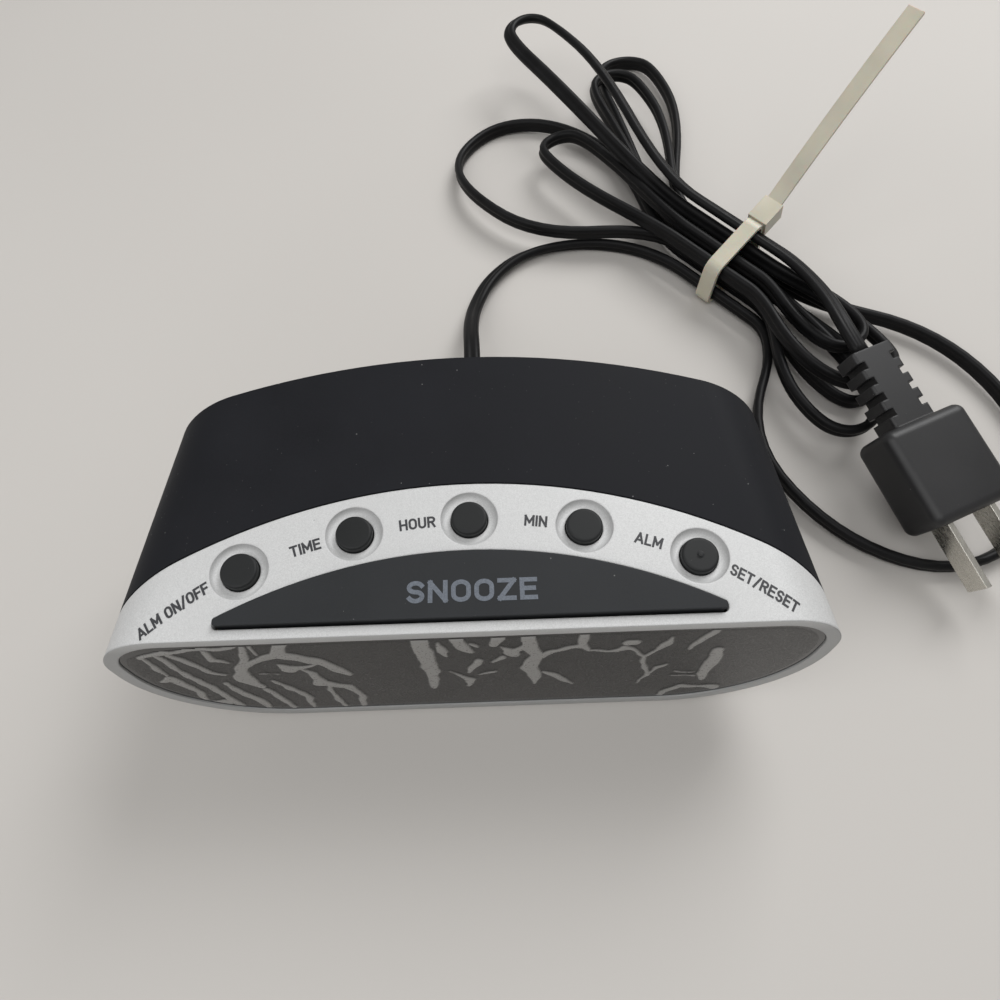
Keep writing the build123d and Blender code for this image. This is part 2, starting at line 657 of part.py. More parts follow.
with BuildPart() as led_segments:
    with BuildSketch(Plane(FACE.offset(-DISPLAY_FRONT_DEPTH).from_local_coords((0, -DISPLAY_DROP, 0)),
                           x_dir=FACE.x_dir, z_dir=FACE.z_dir)):
        for step in (-1.5, -0.5, 0.5, 1.5):
            digit_x = step * DIGIT_PITCH + (DIGIT_GAP_X if step > 0 else -DIGIT_GAP_X)
            across, upright = digit_bars(digit_x)
            with Locations(*across):
                add(segment(DIGIT_WIDE - SEGMENT_GAP))
            with Locations(*upright):
                add(segment(DIGIT_HIGH / 2 - SEGMENT_GAP))
        with Locations((0, -DIGIT_HIGH / 4), (0, DIGIT_HIGH / 4)):
            Circle(SEGMENT_WIDE / 2)
    extrude(amount=SEGMENT_THICK)
write(led_segments.part, "led_segments")


def on_main_back(places):
    """Places on the back of the main board, given from its middle."""
    return [(x, y - MAIN_BOARD_DROP) for x, y in places]


with BuildPart() as clock_chip:
    with BuildSketch(MAIN_BACK):
        with Locations(*on_main_back([CHIP_PLACE])):
            Rectangle(CHIP_SIZE[0], CHIP_SIZE[1])
    extrude(amount=-CHIP_SIZE[2])
write(clock_chip.part, "clock_chip")

with BuildPart() as crystal:
    with BuildSketch(MAIN_BACK):
        with Locations(*on_main_back([CRYSTAL_PLACE])):
            Rectangle(CRYSTAL_SIZE[0], CRYSTAL_SIZE[1])
    extrude(amount=-CRYSTAL_SIZE[2])
write(crystal.part, "crystal")

with BuildPart() as alarm_buzzer:
    with BuildSketch(MAIN_BACK):
        with Locations(*on_main_back([BUZZER_PLACE])):
            Circle(BUZZER_D / 2)
    extrude(amount=-BUZZER_HIGH)
write(alarm_buzzer.part, "alarm_buzzer")

with BuildPart() as capacitors:
    with BuildSketch(MAIN_BACK):
        with Locations(*on_main_back(CAP_PLACES)):
            Circle(CAP_D / 2)
    extrude(amount=-CAP_HIGH)
write(capacitors.part, "capacitors")

with BuildPart() as diodes:
    with BuildSketch(MAIN_BACK):
        with Locations(*on_main_back(DIODE_PLACES)):
            Rectangle(DIODE_D, DIODE_LONG)
    extrude(amount=-DIODE_D)
write(diodes.part, "diodes")

# Places that the rear shell shares with the door, the cells and the transformer
CELL_PITCH = CELL_D + CELL_GAP
BOX_WIDE = CELL_PITCH + CELL_D + 2 * CELL_SIDE_ROOM
BOX_BACK_Y = BOX_FRONT_Y + CELL_LONG + 2 * CELL_END_ROOM
BOX_TOP_Z = FLOOR_INSIDE_Z + CELL_D + CELL_TOP_ROOM
DOOR_LIP_Y = BOX_BACK_Y + BOX_WALL + DOOR_FIT
CORE_X, CORE_Y = CORE_CENTRE
CORE_FOOT_Z = FLOOR_INSIDE_Z + CORE_LIFT
CORE_MID_Z = CORE_FOOT_Z + CORE_SIZE[2] / 2
BRACKET_HALF = CORE_SIZE[0] / 2 + BRACKET_FIT + BRACKET_THICK
CELLS_X = CORE_X - BRACKET_HALF - BRACKET_FOOT - BOX_GAP - BOX_WALL - BOX_WIDE / 2
BRACKET_SCREWS = [(CORE_X + side * (BRACKET_HALF + BRACKET_FOOT / 2), CORE_Y) for side in (-1, 1)]
EXIT_INSIDE_Y = REAR_CENTRE_Y + REAR_BOW_R - WALL - BUSHING_INSIDE


def block(x, y, z):
    """A box between two values on each axis."""
    with BuildPart() as box:
        with Locations(((x[0] + x[1]) / 2, (y[0] + y[1]) / 2, (z[0] + z[1]) / 2)):
            Box(x[1] - x[0], y[1] - y[0], z[1] - z[0])
    return box.part


def door_span(margin):
    """The door's sides, drawn in by a margin."""
    half = BOX_WIDE / 2 - margin
    return (CELLS_X - half, CELLS_X + half)


def door_space(margin, room):
    """The space of the door: its plate with a tongue at each side, and its lip in the rear wall."""
    far = REAR_Y + FORM_MARGIN
    tongue_z = (FLOOR_INSIDE_Z - DOOR_TONGUE_THICK - room, FLOOR_INSIDE_Z + room)
    with BuildPart() as space:
        add(block(door_span(margin), (BOX_FRONT_Y + margin, far), (0, FLOOR_INSIDE_Z + room)))
        add(block(door_span(margin), (DOOR_LIP_Y + margin - DOOR_FIT, far), (0, DOOR_LIP_TOP - margin)))
        add(block(door_span(-DOOR_TONGUE - room), (BOX_FRONT_Y + margin, far), tongue_z))
    return space.part


def case_posts(diameter, start_y):
    """Round bars along the case screws, from a given place back to the middle of the rear wall."""
    with BuildPart() as posts:
        with BuildSketch(Plane.XZ.offset(-start_y)):
            with Locations(*CASE_SCREW_PLACES):
                Circle(diameter / 2)
        extrude(amount=-DEPTH)
        add(housing_form(WALL / 2, 0), mode=Mode.INTERSECT)
    return posts.part


# Rear shell: top, sides, bottom and bowed back, with the cell box and the screw posts inside
with BuildPart() as rear_shell:
    add(housing_form(0, 0))
    add(housing_form(WALL, FACE_WALL), mode=Mode.SUBTRACT)
    add(bezel_region(SEAM_GAP), mode=Mode.SUBTRACT)
    add(case_posts(CASE_POST_D, CASE_JOIN_Y + SEAM_GAP))
    add(block(
        door_span(-BOX_WALL), (BOX_FRONT_Y - BOX_WALL, BOX_BACK_Y + BOX_WALL),
        (FLOOR_INSIDE_Z - WALL / 2, BOX_TOP_Z + BOX_WALL),
    ) & housing_form(WALL / 2, FACE_WALL))
    add(
        block(door_span(0), (BOX_FRONT_Y, BOX_BACK_Y), (FLOOR_INSIDE_Z - WALL / 2, BOX_TOP_Z)),
        mode=Mode.SUBTRACT,
    )
    add(door_space(0, DOOR_SLIDE_FIT), mode=Mode.SUBTRACT)
    with BuildSketch(Plane.XY.offset(BASE_Z)):
        with Locations(*FOOT_PLACES):
            Circle(FOOT_D / 2 + FOOT_FIT + FOOT_SOCKET_WALL)
    extrude(amount=FOOT_SINK + WALL)
    with BuildSketch(Plane.XY.offset(BASE_Z)):
        with Locations(*FOOT_PLACES):
            Circle(FOOT_D / 2 + FOOT_FIT)
    extrude(amount=FOOT_SINK, mode=Mode.SUBTRACT)
    add(block(
        (CORE_X - CORE_SIZE[0] / 2 + PAD_MARGIN, CORE_X + CORE_SIZE[0] / 2 - PAD_MARGIN),
        (CORE_Y - CORE_SIZE[1] / 2, CORE_Y + CORE_SIZE[1] / 2),
        (FLOOR_INSIDE_Z - WALL / 2, CORE_FOOT_Z),
    ))
    with BuildSketch(Plane.XY.offset(CORE_FOOT_Z)):
        with Locations(*BRACKET_SCREWS):
            Circle(FOOT_BOSS_D / 2)
    extrude(amount=-CORE_LIFT - WALL / 2)
    with BuildSketch(Plane.XY.offset(CORE_FOOT_Z)):
        with Locations(*BRACKET_SCREWS):
            Circle(BOARD_SCREW_D / 2 + THREAD_FIT)
    extrude(amount=-CORE_LIFT, mode=Mode.SUBTRACT)
    with BuildSketch(Plane.XZ.offset(-CASE_JOIN_Y)):
        with Locations(*CASE_SCREW_PLACES):
            Circle(CASE_SCREW_D / 2 + CASE_HOLE_FIT)
    extrude(amount=-DEPTH, mode=Mode.SUBTRACT)
    with BuildSketch(Plane.XZ.offset(-CASE_JOIN_Y - CASE_SEAT)):
        with Locations(*CASE_SCREW_PLACES):
            Circle(CASE_HEAD_D / 2 + CASE_HOLE_FIT)
    extrude(amount=-DEPTH, mode=Mode.SUBTRACT)
    with BuildSketch(Plane.XZ.offset(-REAR_Y - FORM_MARGIN)):
        with Locations(VENT_CENTRE):
            with GridLocations(VENT_PITCH, 0, VENT_COUNT, 1):
                SlotOverall(VENT_SIZE[1], VENT_SIZE[0], rotation=90)
        with Locations(SOUND_CENTRE):
            with GridLocations(SOUND_PITCH, SOUND_PITCH, SOUND_COLUMNS, SOUND_ROWS):
                Circle(SOUND_HOLE_D / 2)
        with Locations((EXIT_X, EXIT_Z)):
            Circle(BUSHING_D / 2 + BUSHING_FIT)
    extrude(amount=3 * FORM_MARGIN, mode=Mode.SUBTRACT)
write(rear_shell.part, "rear_shell")

# Door under the cells, which slides out to the rear on its tongues
with BuildPart() as battery_door:
    add(housing_form(0, 0))
    add(housing_form(WALL, FACE_WALL), mode=Mode.SUBTRACT)
    add(door_space(DOOR_FIT, 0), mode=Mode.INTERSECT)
    with BuildSketch(Plane.XY.offset(BASE_Z)):
        with Locations((CELLS_X, BOX_BACK_Y - GRIP_RIDGES * GRIP_PITCH)):
            with GridLocations(0, GRIP_PITCH, 1, GRIP_RIDGES):
                Rectangle(GRIP_WIDE, GRIP_PITCH / 2)
    extrude(amount=GRIP_DEEP, mode=Mode.SUBTRACT)
write(battery_door.part, "battery_door")

# Backup cells and the contact plates at both ends of the box
CELL_Z = FLOOR_INSIDE_Z + CELL_FIT + CELL_D / 2
with BuildPart() as backup_cells:
    with BuildSketch(Plane.XZ.offset(-BOX_FRONT_Y - CELL_END_ROOM)):
        with Locations((CELLS_X - CELL_PITCH / 2, CELL_Z), (CELLS_X + CELL_PITCH / 2, CELL_Z)):
            Circle(CELL_D / 2)
    extrude(amount=-CELL_LONG)
write(backup_cells.part, "backup_cells")

with BuildPart() as battery_contacts:
    for y in (BOX_FRONT_Y + CONTACT_SIZE[1] / 2, BOX_BACK_Y - CONTACT_SIZE[1] / 2):
        with Locations((CELLS_X - CELL_PITCH / 2, y, CELL_Z), (CELLS_X + CELL_PITCH / 2, y, CELL_Z)):
            Box(*CONTACT_SIZE)
write(battery_contacts.part, "battery_contacts")

# Feet and case screws
with BuildPart() as rubber_feet:
    with BuildSketch(Plane.XY):
        with Locations(*FOOT_PLACES):
            Circle(FOOT_D / 2)
    extrude(amount=BASE_Z + FOOT_SINK)
write(rubber_feet.part, "rubber_feet")

write(
    screws(Plane.XZ.offset(-CASE_JOIN_Y - CASE_SEAT), CASE_SCREW_PLACES, CASE_SCREW_D,
           CASE_SCREW_LONG, CASE_HEAD_D, CASE_HEAD),
    "case_screws",
)

# Transformer: laminated core, coil, and the bracket that straps it to the shell
with BuildPart() as transformer_core:
    with Locations((CORE_X, CORE_Y, CORE_MID_Z)):
        Box(*CORE_SIZE)
        Box(COIL_SIZE[0] + 2 * COIL_FIT, 2 * CORE_SIZE[1], COIL_SIZE[2] + 2 * COIL_FIT, mode=Mode.SUBTRACT)
write(transformer_core.part, "transformer_core")

with BuildPart() as transformer_coil:
    with Locations((CORE_X, CORE_Y, CORE_MID_Z)):
        Box(*COIL_SIZE)
write(transformer_coil.part, "transformer_coil")

with BuildPart() as transformer_bracket:
    with BuildSketch(Plane.XZ.offset(-CORE_Y)):
        with Locations((CORE_X, CORE_FOOT_Z)):
            Rectangle(2 * (BRACKET_HALF + BRACKET_FOOT), BRACKET_THICK, align=(Align.CENTER, Align.MIN))
            Rectangle(
                2 * BRACKET_HALF, CORE_SIZE[2] + BRACKET_FIT + BRACKET_THICK, align=(Align.CENTER, Align.MIN)
            )
            Rectangle(
                2 * (BRACKET_HALF - BRACKET_THICK), CORE_SIZE[2] + BRACKET_FIT,
                align=(Align.CENTER, Align.MIN), mode=Mode.SUBTRACT,
            )
    extrude(amount=BRACKET_WIDE / 2, both=True)
    with BuildSketch(Plane.XY.offset(CORE_FOOT_Z)):
        with Locations(*BRACKET_SCREWS):
            Circle(BOARD_SCREW_D / 2 + THREAD_FIT)
    extrude(amount=BRACKET_THICK, mode=Mode.SUBTRACT)
write(transformer_bracket.part, "transformer_bracket")

SHORT_SCREW = BRACKET_THICK + CORE_LIFT
write(
    screws(
        Plane(origin=(0, 0, CORE_FOOT_Z + BRACKET_THICK), x_dir=(1, 0, 0), z_dir=(0, 0, -1)),
        [(x, -y) for x, y in BRACKET_SCREWS],
        BOARD_SCREW_D, SHORT_SCREW, BOARD_SCREW_HEAD_D, BOARD_SCREW_HEAD,
    ),
    "transformer_screws",
)

# Leads: from the coil to the main board, and from the cord to the coil
with BuildPart() as transformer_leads:
    with BuildSketch(Plane.XZ.offset(COIL_SIZE[1] / 2 - CORE_Y)):
        with Locations(*[(x, SECONDARY_Z) for x in SECONDARY_X]):
            Circle(LEAD_D / 2)
    extrude(amount=DEPTH)
    split(bisect_by=MAIN_BACK, keep=Keep.BOTTOM)
write(transformer_leads.part, "transformer_leads")

with BuildPart() as mains_leads:
    for z in (EXIT_Z - PRIMARY_SPREAD, EXIT_Z + PRIMARY_SPREAD):
        coil_end_y = CORE_Y + (CORE_SIZE[1] + COIL_SIZE[1]) / 4
        with BuildLine() as run:
            FilletPolyline(
                (EXIT_X, EXIT_INSIDE_Y, z), (EXIT_X, coil_end_y, z),
                (CORE_X - COIL_SIZE[0] / 2, coil_end_y, z),
                radius=LEAD_BEND_R,
            )
        with BuildSketch(Plane(origin=run.line @ 0, z_dir=run.line % 0)):
            Circle(LEAD_D / 2)
        sweep(path=run.line)
write(mains_leads.part, "mains_leads")

with BuildPart() as ribbon_cable:
    with BuildLine() as run:
        FilletPolyline(
            (RIBBON_X, RIBBON_BACK_Y, KEY_BOARD_Z - BOARD_THICK),
            (RIBBON_X, RIBBON_BACK_Y, KEY_BOARD_Z - BOARD_THICK - RIBBON_DROP),
            (RIBBON_X, FACE_FOOT_Y, KEY_BOARD_Z - BOARD_THICK - RIBBON_DROP),
            radius=RIBBON_BEND_R,
        )
    with BuildSketch(Plane(origin=run.line @ 0, x_dir=(1, 0, 0), z_dir=run.line % 0)):
        Rectangle(RIBBON_WIDE, RIBBON_THICK)
    sweep(path=run.line)
    split(bisect_by=MAIN_BACK, keep=Keep.BOTTOM)
write(ribbon_cable.part, "ribbon_cable")

# Bushing that holds the cord in the rear wall
with BuildPart() as strain_relief:
    with BuildSketch(Plane.XZ.offset(-EXIT_INSIDE_Y)):
        with Locations((EXIT_X, EXIT_Z)):
            Circle(BUSHING_D / 2)
    extrude(amount=EXIT_INSIDE_Y - EXIT_Y)
    with BuildSketch(Plane.XZ.offset(-EXIT_Y)):
        with Locations((EXIT_X, EXIT_Z)):
            Circle(BUSHING_FLANGE_D / 2)
    extrude(amount=-BUSHING_FLANGE)
    with BuildSketch(Plane.XZ.offset(-EXIT_Y - BUSHING_FLANGE)):
        with Locations((EXIT_X, EXIT_Z)):
            Circle(BUSHING_D / 2)
    with BuildSketch(Plane.XZ.offset(-BUSHING_END_Y)):
        with Locations((EXIT_X, EXIT_Z)):
            Circle(BUSHING_TIP_D / 2)
    loft(ruled=True)
write(strain_relief.part, "strain_relief")

# Directions and levels of the hank
HANK_DIR = Vector(1, 0, 0).rotate(Axis.Z, HANK_BEARING)
HANK_SIDE = HANK_DIR.rotate(Axis.Z, 90)
TIE_CENTRE = Vector(TIE_X, TIE_Y, 0)
CORD_AREA = pi * CORD_D**2 / 4
FLOOR_Z = CORD_D / 2 + CORD_LIFT
WAIST_Z = TIE_THICK + TIE_ROOM + CORD_D / 2 + CORD_LIFT


def waist_point(index, end):
    """Where a pass meets one end of the waist: -1 at the far end from the plug, 1 at the near one."""
    column, row = PASSES[index]
    place = TIE_CENTRE + HANK_DIR * (end * WAIST_HALF) + HANK_SIDE * (column * SLOT_PITCH)
    return place + Vector(0, 0, WAIST_Z + row * ROW_PITCH)


def loop_nodes(index):
    """The places and directions of one loop: shoulder, far end, shoulder and the next pass."""
    reach, turn, half_width, rise, share = LOOPS[index]
    end = 1 if index % 2 == 0 else -1
    start = waist_point(index, end)
    finish = waist_point(index + 1, end)
    out = (HANK_DIR * end).rotate(Axis.Z, turn)
    across = out.rotate(Axis.Z, 90)
    side = 1 if (start - finish).dot(across) > 0 else -1
    middle = (start + finish) * 0.5
    root = Vector(middle.X, middle.Y, 0)
    far_z = FLOOR_Z + rise
    shoulder = root + out * (reach - SHOULDER_ROUND * half_width)
    levels = [share * place.Z + (1 - share) * far_z for place in (start, finish)]
    return [
        (shoulder + across * (side * half_width) + Vector(0, 0, levels[0]), out),
        (root + out * reach + Vector(0, 0, far_z), across * -side),
        (shoulder - across * (side * half_width) + Vector(0, 0, levels[1]), out * -1),
        (finish, HANK_DIR * -end),
    ]


def biarc_joint(start, start_dir, finish, finish_dir):
    """Where two arcs meet that leave one place and reach another in given directions."""
    chord = finish - start
    both = start_dir + finish_dir
    turn = 1 - start_dir.dot(finish_dir)
    reach = chord.dot(both)
    handle = chord.dot(chord) / (sqrt(reach**2 + 2 * turn * chord.dot(chord)) + reach)
    near = start + start_dir * handle
    far = finish - finish_dir * handle
    return (near + far) * 0.5, (far - near).normalized()


def hank_nodes():
    """Every place that the hank's cord passes, with its direction there."""
    nodes = [(waist_point(0, -1), HANK_DIR), (waist_point(0, 1), HANK_DIR)]
    for index in range(len(LOOPS)):
        end = 1 if index % 2 == 0 else -1
        nodes += loop_nodes(index)
        nodes.append((waist_point(index + 1, -end), HANK_DIR * -end))
    return nodes


def least_gap(points, diameter):
    """The least gap between stretches of a tube that aren't neighbours along it."""
    nearest = min(
        (a - b).length
        for i, a in enumerate(points) for b in points[i + GAP_SKIP:]
    )
    return nearest - diameter


# Hank: one tube that passes under the tie and loops out at both ends in turn
with BuildPart() as cord_hank:
    with BuildLine() as hank_route:
        nodes = hank_nodes()
        for (start, start_dir), (finish, finish_dir) in zip(nodes, nodes[1:]):
            if (finish - start).normalized().dot(start_dir) > 1 - 1e-9:
                Line(start, finish)
            else:
                joint, joint_dir = biarc_joint(start, start_dir, finish, finish_dir)
                TangentArc(start, joint, tangent=start_dir)
                TangentArc(joint, finish, tangent=joint_dir)
    with BuildSketch(Plane(origin=hank_route.wire() @ 0, z_dir=hank_route.wire() % 0)):
        Circle(CORD_D / 2)
    sweep(path=hank_route.wire())
write(cord_hank.part, "cord_hank")
HANK_LONG = hank_route.wire().length
HANK_POINTS = [hank_route.wire() @ (step * GAP_STEP / HANK_LONG) for step in range(int(HANK_LONG / GAP_STEP))]
print("hank length", round(HANK_LONG), "least gap", round(least_gap(HANK_POINTS, CORD_D), 2))
print("hank volume share", cord_hank.part.volume / (HANK_LONG * CORD_AREA))


def cord_run(points):
    """A tube along straight runs that are joined by arcs."""
    radii = []
    for before, point, after in zip(points, points[1:], points[2:]):
        run_in = point - before
        run_out = after - point
        half_turn = radians(run_in.get_angle(run_out)) / 2
        radii.append(BEND_SHARE * min(run_in.length, run_out.length) / tan(half_turn))
    with BuildPart() as tube:
        with BuildLine() as run:
            FilletPolyline(*points, radius=radii)
        with BuildSketch(Plane(origin=run.line @ 0, z_dir=run.line % 0)):
            Circle(CORD_D / 2)
        sweep(path=run.line)
    share = tube.part.volume / (run.wire().length * CORD_AREA)
    print("cord radii", [round(r, 1) for r in radii])
    print("cord length", round(run.wire().length), "volume share", share)
    return tube.part


# Plug's own directions: its axis dips from the cord towards the blades
PLUG_AXIS = Vector(1, 0, 0).rotate(Axis.Y, PLUG_PITCH).rotate(Axis.Z, PLUG_BEARING)
PLUG_UP = Vector(0, 0, 1).rotate(Axis.Y, PLUG_PITCH).rotate(Axis.Z, PLUG_BEARING)
PLUG_CENTRE = Vector(PLUG_X, PLUG_Y, PLUG_Z)
PLUG_PLANE = Plane(origin=PLUG_CENTRE, x_dir=PLUG_AXIS, z_dir=PLUG_UP)
PLUG_FACE_X = PLUG_RELIEF[0] + PLUG_BODY[0]

# Cord from the bushing to the hank, and from the hank to the plug
BUSHING_END = Vector(EXIT_X, BUSHING_END_Y, EXIT_Z)
HANK_START = waist_point(0, -1)
HANK_END = waist_point(len(LOOPS), 1)
write(
    cord_run([BUSHING_END, *[Vector(*place) for place in LEAD_ROUTE],
              HANK_START - HANK_DIR * SQUARE_RUN, HANK_START]),
    "cord_lead",
)
write(
    cord_run([HANK_END, HANK_END + HANK_DIR * SQUARE_RUN, *[Vector(*place) for place in TAIL_ROUTE],
              PLUG_CENTRE - PLUG_AXIS * SQUARE_RUN, PLUG_CENTRE]),
    "cord_tail",
)

# Plug: a slotted relief that bends with the cord, a rounded body and two flat blades
with BuildPart() as plug_relief:
    with BuildSketch(PLUG_PLANE):
        Rectangle(PLUG_RELIEF[0] + PLUG_EDGE, PLUG_RELIEF[1], align=(Align.MIN, Align.CENTER))
    extrude(amount=PLUG_RELIEF[2] / 2, both=True)
    fillet(
        plug_relief.edges().filter_by(lambda edge: abs(edge.tangent_at(0).dot(PLUG_AXIS)) > cos(radians(1))),
        PLUG_RELIEF_EDGE,
    )
    with BuildSketch(PLUG_PLANE):
        with Locations((PLUG_RELIEF[0] / 2, PLUG_RELIEF[1] / 2), (PLUG_RELIEF[0] / 2, -PLUG_RELIEF[1] / 2)):
            with GridLocations(PLUG_SLOT_PITCH, 0, PLUG_SLOTS, 1):
                Rectangle(PLUG_SLOT, 2 * PLUG_SLOT_DEEP)
    extrude(amount=PLUG_RELIEF[2], both=True, mode=Mode.SUBTRACT)

with BuildPart() as plug_body:
    with BuildSketch(PLUG_PLANE):
        with Locations((PLUG_RELIEF[0], 0)):
            Rectangle(PLUG_BODY[0], PLUG_BODY[1], align=(Align.MIN, Align.CENTER))
    extrude(amount=PLUG_BODY[2] / 2, both=True)
    fillet(plug_body.edges(), PLUG_EDGE)
    add(plug_relief.part)
write(plug_body.part, "plug_body")

with BuildPart() as plug_blades:
    with BuildSketch(PLUG_PLANE):
        with Locations((PLUG_FACE_X, BLADE_PITCH / 2), (PLUG_FACE_X, -BLADE_PITCH / 2)):
            Rectangle(BLADE_SIZE[0], BLADE_SIZE[1], align=(Align.MIN, Align.CENTER))
    extrude(amount=BLADE_SIZE[2] / 2, both=True)
write(plug_blades.part, "plug_blades")

# Cable tie: a strap drawn round the passes, with its head at one side and a long free tail
TIE_PLANE = Plane(origin=TIE_CENTRE, x_dir=HANK_SIDE, z_dir=HANK_DIR)
TIE_PASSES = [(column * SLOT_PITCH, WAIST_Z + row * ROW_PITCH) for column, row in PASSES]
TIE_TOP_PASS = Vector(*TIE_PASSES[-1])
TIE_HEAD_DIR = Vector(1, 0).rotate(Axis.Z, TIE_HEAD_TILT)
TIE_TAIL_START = TIE_TOP_PASS + TIE_HEAD_DIR * (CORD_D / 2 + TIE_ROOM + (TIE_THICK + TIE_HEAD[1]) / 2)
TIE_TAIL_TURN = degrees(TIE_TAIL_LONG / TIE_TAIL_BEND_R)


def bundle_outline(grow):
    """The outline of the passes at the bundle's corners, grown all round."""
    with BuildSketch() as outline:
        with BuildLine():
            Polyline(*[TIE_PASSES[index] for index in TIE_CORNERS], close=True)
        make_face()
        offset(amount=grow, kind=Kind.ARC)
    return outline.sketch


with BuildPart() as cable_tie:
    with BuildSketch(TIE_PLANE):
        add(bundle_outline(CORD_D / 2 + TIE_ROOM + TIE_THICK))
        add(bundle_outline(CORD_D / 2 + TIE_ROOM), mode=Mode.SUBTRACT)
    extrude(amount=TIE_WIDE / 2, both=True)
    with BuildSketch(TIE_PLANE):
        with Locations(TIE_TAIL_START):
            Rectangle(TIE_HEAD[1], TIE_HEAD[2], rotation=TIE_HEAD_TILT)
    extrude(amount=TIE_HEAD[0] / 2, both=True)
    with BuildSketch(TIE_PLANE):
        with BuildLine():
            JernArc(
                TIE_TAIL_START,
                (cos(radians(TIE_TAIL_SLOPE)), sin(radians(TIE_TAIL_SLOPE))),
                TIE_TAIL_BEND_R, -TIE_TAIL_TURN,
            )
        trace(line_width=TIE_THICK)
    extrude(amount=TIE_WIDE / 2, both=True)
write(cable_tie.part, "cable_tie")
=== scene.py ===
import json
import math

import bpy
import numpy as np
from mathutils import Matrix, Vector


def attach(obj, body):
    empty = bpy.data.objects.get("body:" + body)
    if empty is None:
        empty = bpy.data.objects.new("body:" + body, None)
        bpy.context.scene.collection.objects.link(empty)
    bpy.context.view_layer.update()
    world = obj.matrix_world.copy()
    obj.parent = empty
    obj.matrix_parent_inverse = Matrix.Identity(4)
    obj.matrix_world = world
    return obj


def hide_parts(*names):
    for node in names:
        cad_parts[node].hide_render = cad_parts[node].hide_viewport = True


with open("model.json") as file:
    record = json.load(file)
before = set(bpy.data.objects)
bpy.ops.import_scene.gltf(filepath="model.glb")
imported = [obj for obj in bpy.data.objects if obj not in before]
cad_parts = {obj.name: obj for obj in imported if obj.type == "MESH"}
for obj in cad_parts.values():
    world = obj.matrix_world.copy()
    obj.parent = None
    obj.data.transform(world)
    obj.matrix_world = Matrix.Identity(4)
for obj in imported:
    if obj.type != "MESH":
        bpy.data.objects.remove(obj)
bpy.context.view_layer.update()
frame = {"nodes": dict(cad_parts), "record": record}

# Digital alarm clock with a tied mains cord. Lengths are written in millimetres and set in metres.
MM = 0.001
NODES = frame["nodes"]
SCENE = bpy.context.scene
UP = Vector((0, 0, 1))

# Camera, as the photograph was taken: close above the front edge
CAMERA_PLACE = Vector((5.68, -61.13, 172.91))
CAMERA_RIGHT = Vector((0.9994, -0.0327, -0.0117))
CAMERA_UP = Vector((0.0346, 0.9017, 0.431))
CAMERA_LENS = 25.2
CAMERA_SENSOR = 36
CAMERA_NEAR = 2
CAMERA_FAR = 20000

camera_data = bpy.data.cameras.new("camera")
camera_data.lens = CAMERA_LENS
camera_data.sensor_width = CAMERA_SENSOR
camera_data.sensor_fit = "HORIZONTAL"
camera_data.clip_start = CAMERA_NEAR * MM
camera_data.clip_end = CAMERA_FAR * MM
camera = bpy.data.objects.new("camera", camera_data)
SCENE.collection.objects.link(camera)
camera_back = CAMERA_RIGHT.cross(CAMERA_UP).normalized()
camera_up = camera_back.cross(CAMERA_RIGHT).normalized()
camera_turn = Matrix((CAMERA_RIGHT.normalized(), camera_up, camera_back)).transposed()
camera.matrix_world = Matrix.Translation(CAMERA_PLACE * MM) @ camera_turn.to_4x4()
SCENE.camera = camera


def turned(vector, degrees):
    """A vector turned to the left about the upright axis."""
    return Matrix.Rotation(math.radians(degrees), 3, "Z") @ vector


def new_object(name, mesh):
    """A mesh as an object of the scene."""
    piece = bpy.data.objects.new(name, mesh)
    SCENE.collection.objects.link(piece)
    return piece


def mesh_from(name, points, faces, smooth=True):
    """A mesh object from points in millimetres and its faces."""
    mesh = bpy.data.meshes.new(name)
    mesh.from_pydata([tuple(Vector(point) * MM) for point in points], [], faces)
    mesh.validate()
    mesh.update()
    for polygon in mesh.polygons:
        polygon.use_smooth = smooth
    return new_object(name, mesh)


# Cord: the route's own points, from the bushing to the hank, through its loops, and on to the plug
TIE_CENTRE = Vector((80.5, 96, 0))
HANK_BEARING = -48
WAIST_HALF = 7
WAIST_Z = 3.7
SLOT_PITCH = 6
ROW_PITCH = 4.6
FLOOR_Z = 2.4
SHOULDER_ROUND = 1.15
SQUARE_RUN = 8
PASSES = (
    (-1.5, 0), (1.5, 0), (0.5, 0), (-0.5, 0), (-1, 1), (0, 1),
    (1, 1), (-1.5, 2), (-0.5, 2), (0.5, 2), (0.75, 3),
)
# Each loop's reach, turn to the left, half width, rise of its far end, and share of height at its shoulders
LOOPS = (
    (103, -12, 36, 0, 0.8), (101, -29, 11, 0, 0.8), (50, -9, 8, 0, 0.8), (95, 5.5, 25, 0, 0.75),
    (58, -19, 10, 5.8, 0.5), (89, -24.5, 9, 5.5, 0.5), (50, -7, 12.5, 10.8, 0.8), (71, -4.5, 8, 6, 0.35),
    (38, -5, 7, 11, 0.8), (113, -10.5, 9, 19, 0.08),
)
BUSHING_END = Vector((0, 51, 14))
LEAD_ROUTE = (
    (0, 62, 14), (-0.5, 74, 9.5), (0.8, 86, 4), (5.5, 98, 2.4), (15, 107.5, 2.4), (27.5, 111.5, 2.4),
    (41.5, 112, 2.4), (54.5, 108.5, 2.5),
)
TAIL_ROUTE = ((97.6, 77.5, 19.5), (99.2, 67, 22))
PLUG_PLACE = Vector((103, 50, 22))
PLUG_BEARING = -68
PLUG_PITCH = 10.5
HANK_DIR = turned(Vector((1, 0, 0)), HANK_BEARING)
HANK_SIDE = turned(HANK_DIR, 90)
PLUG_AXIS = turned(Matrix.Rotation(math.radians(PLUG_PITCH), 3, "Y") @ Vector((1, 0, 0)), PLUG_BEARING)


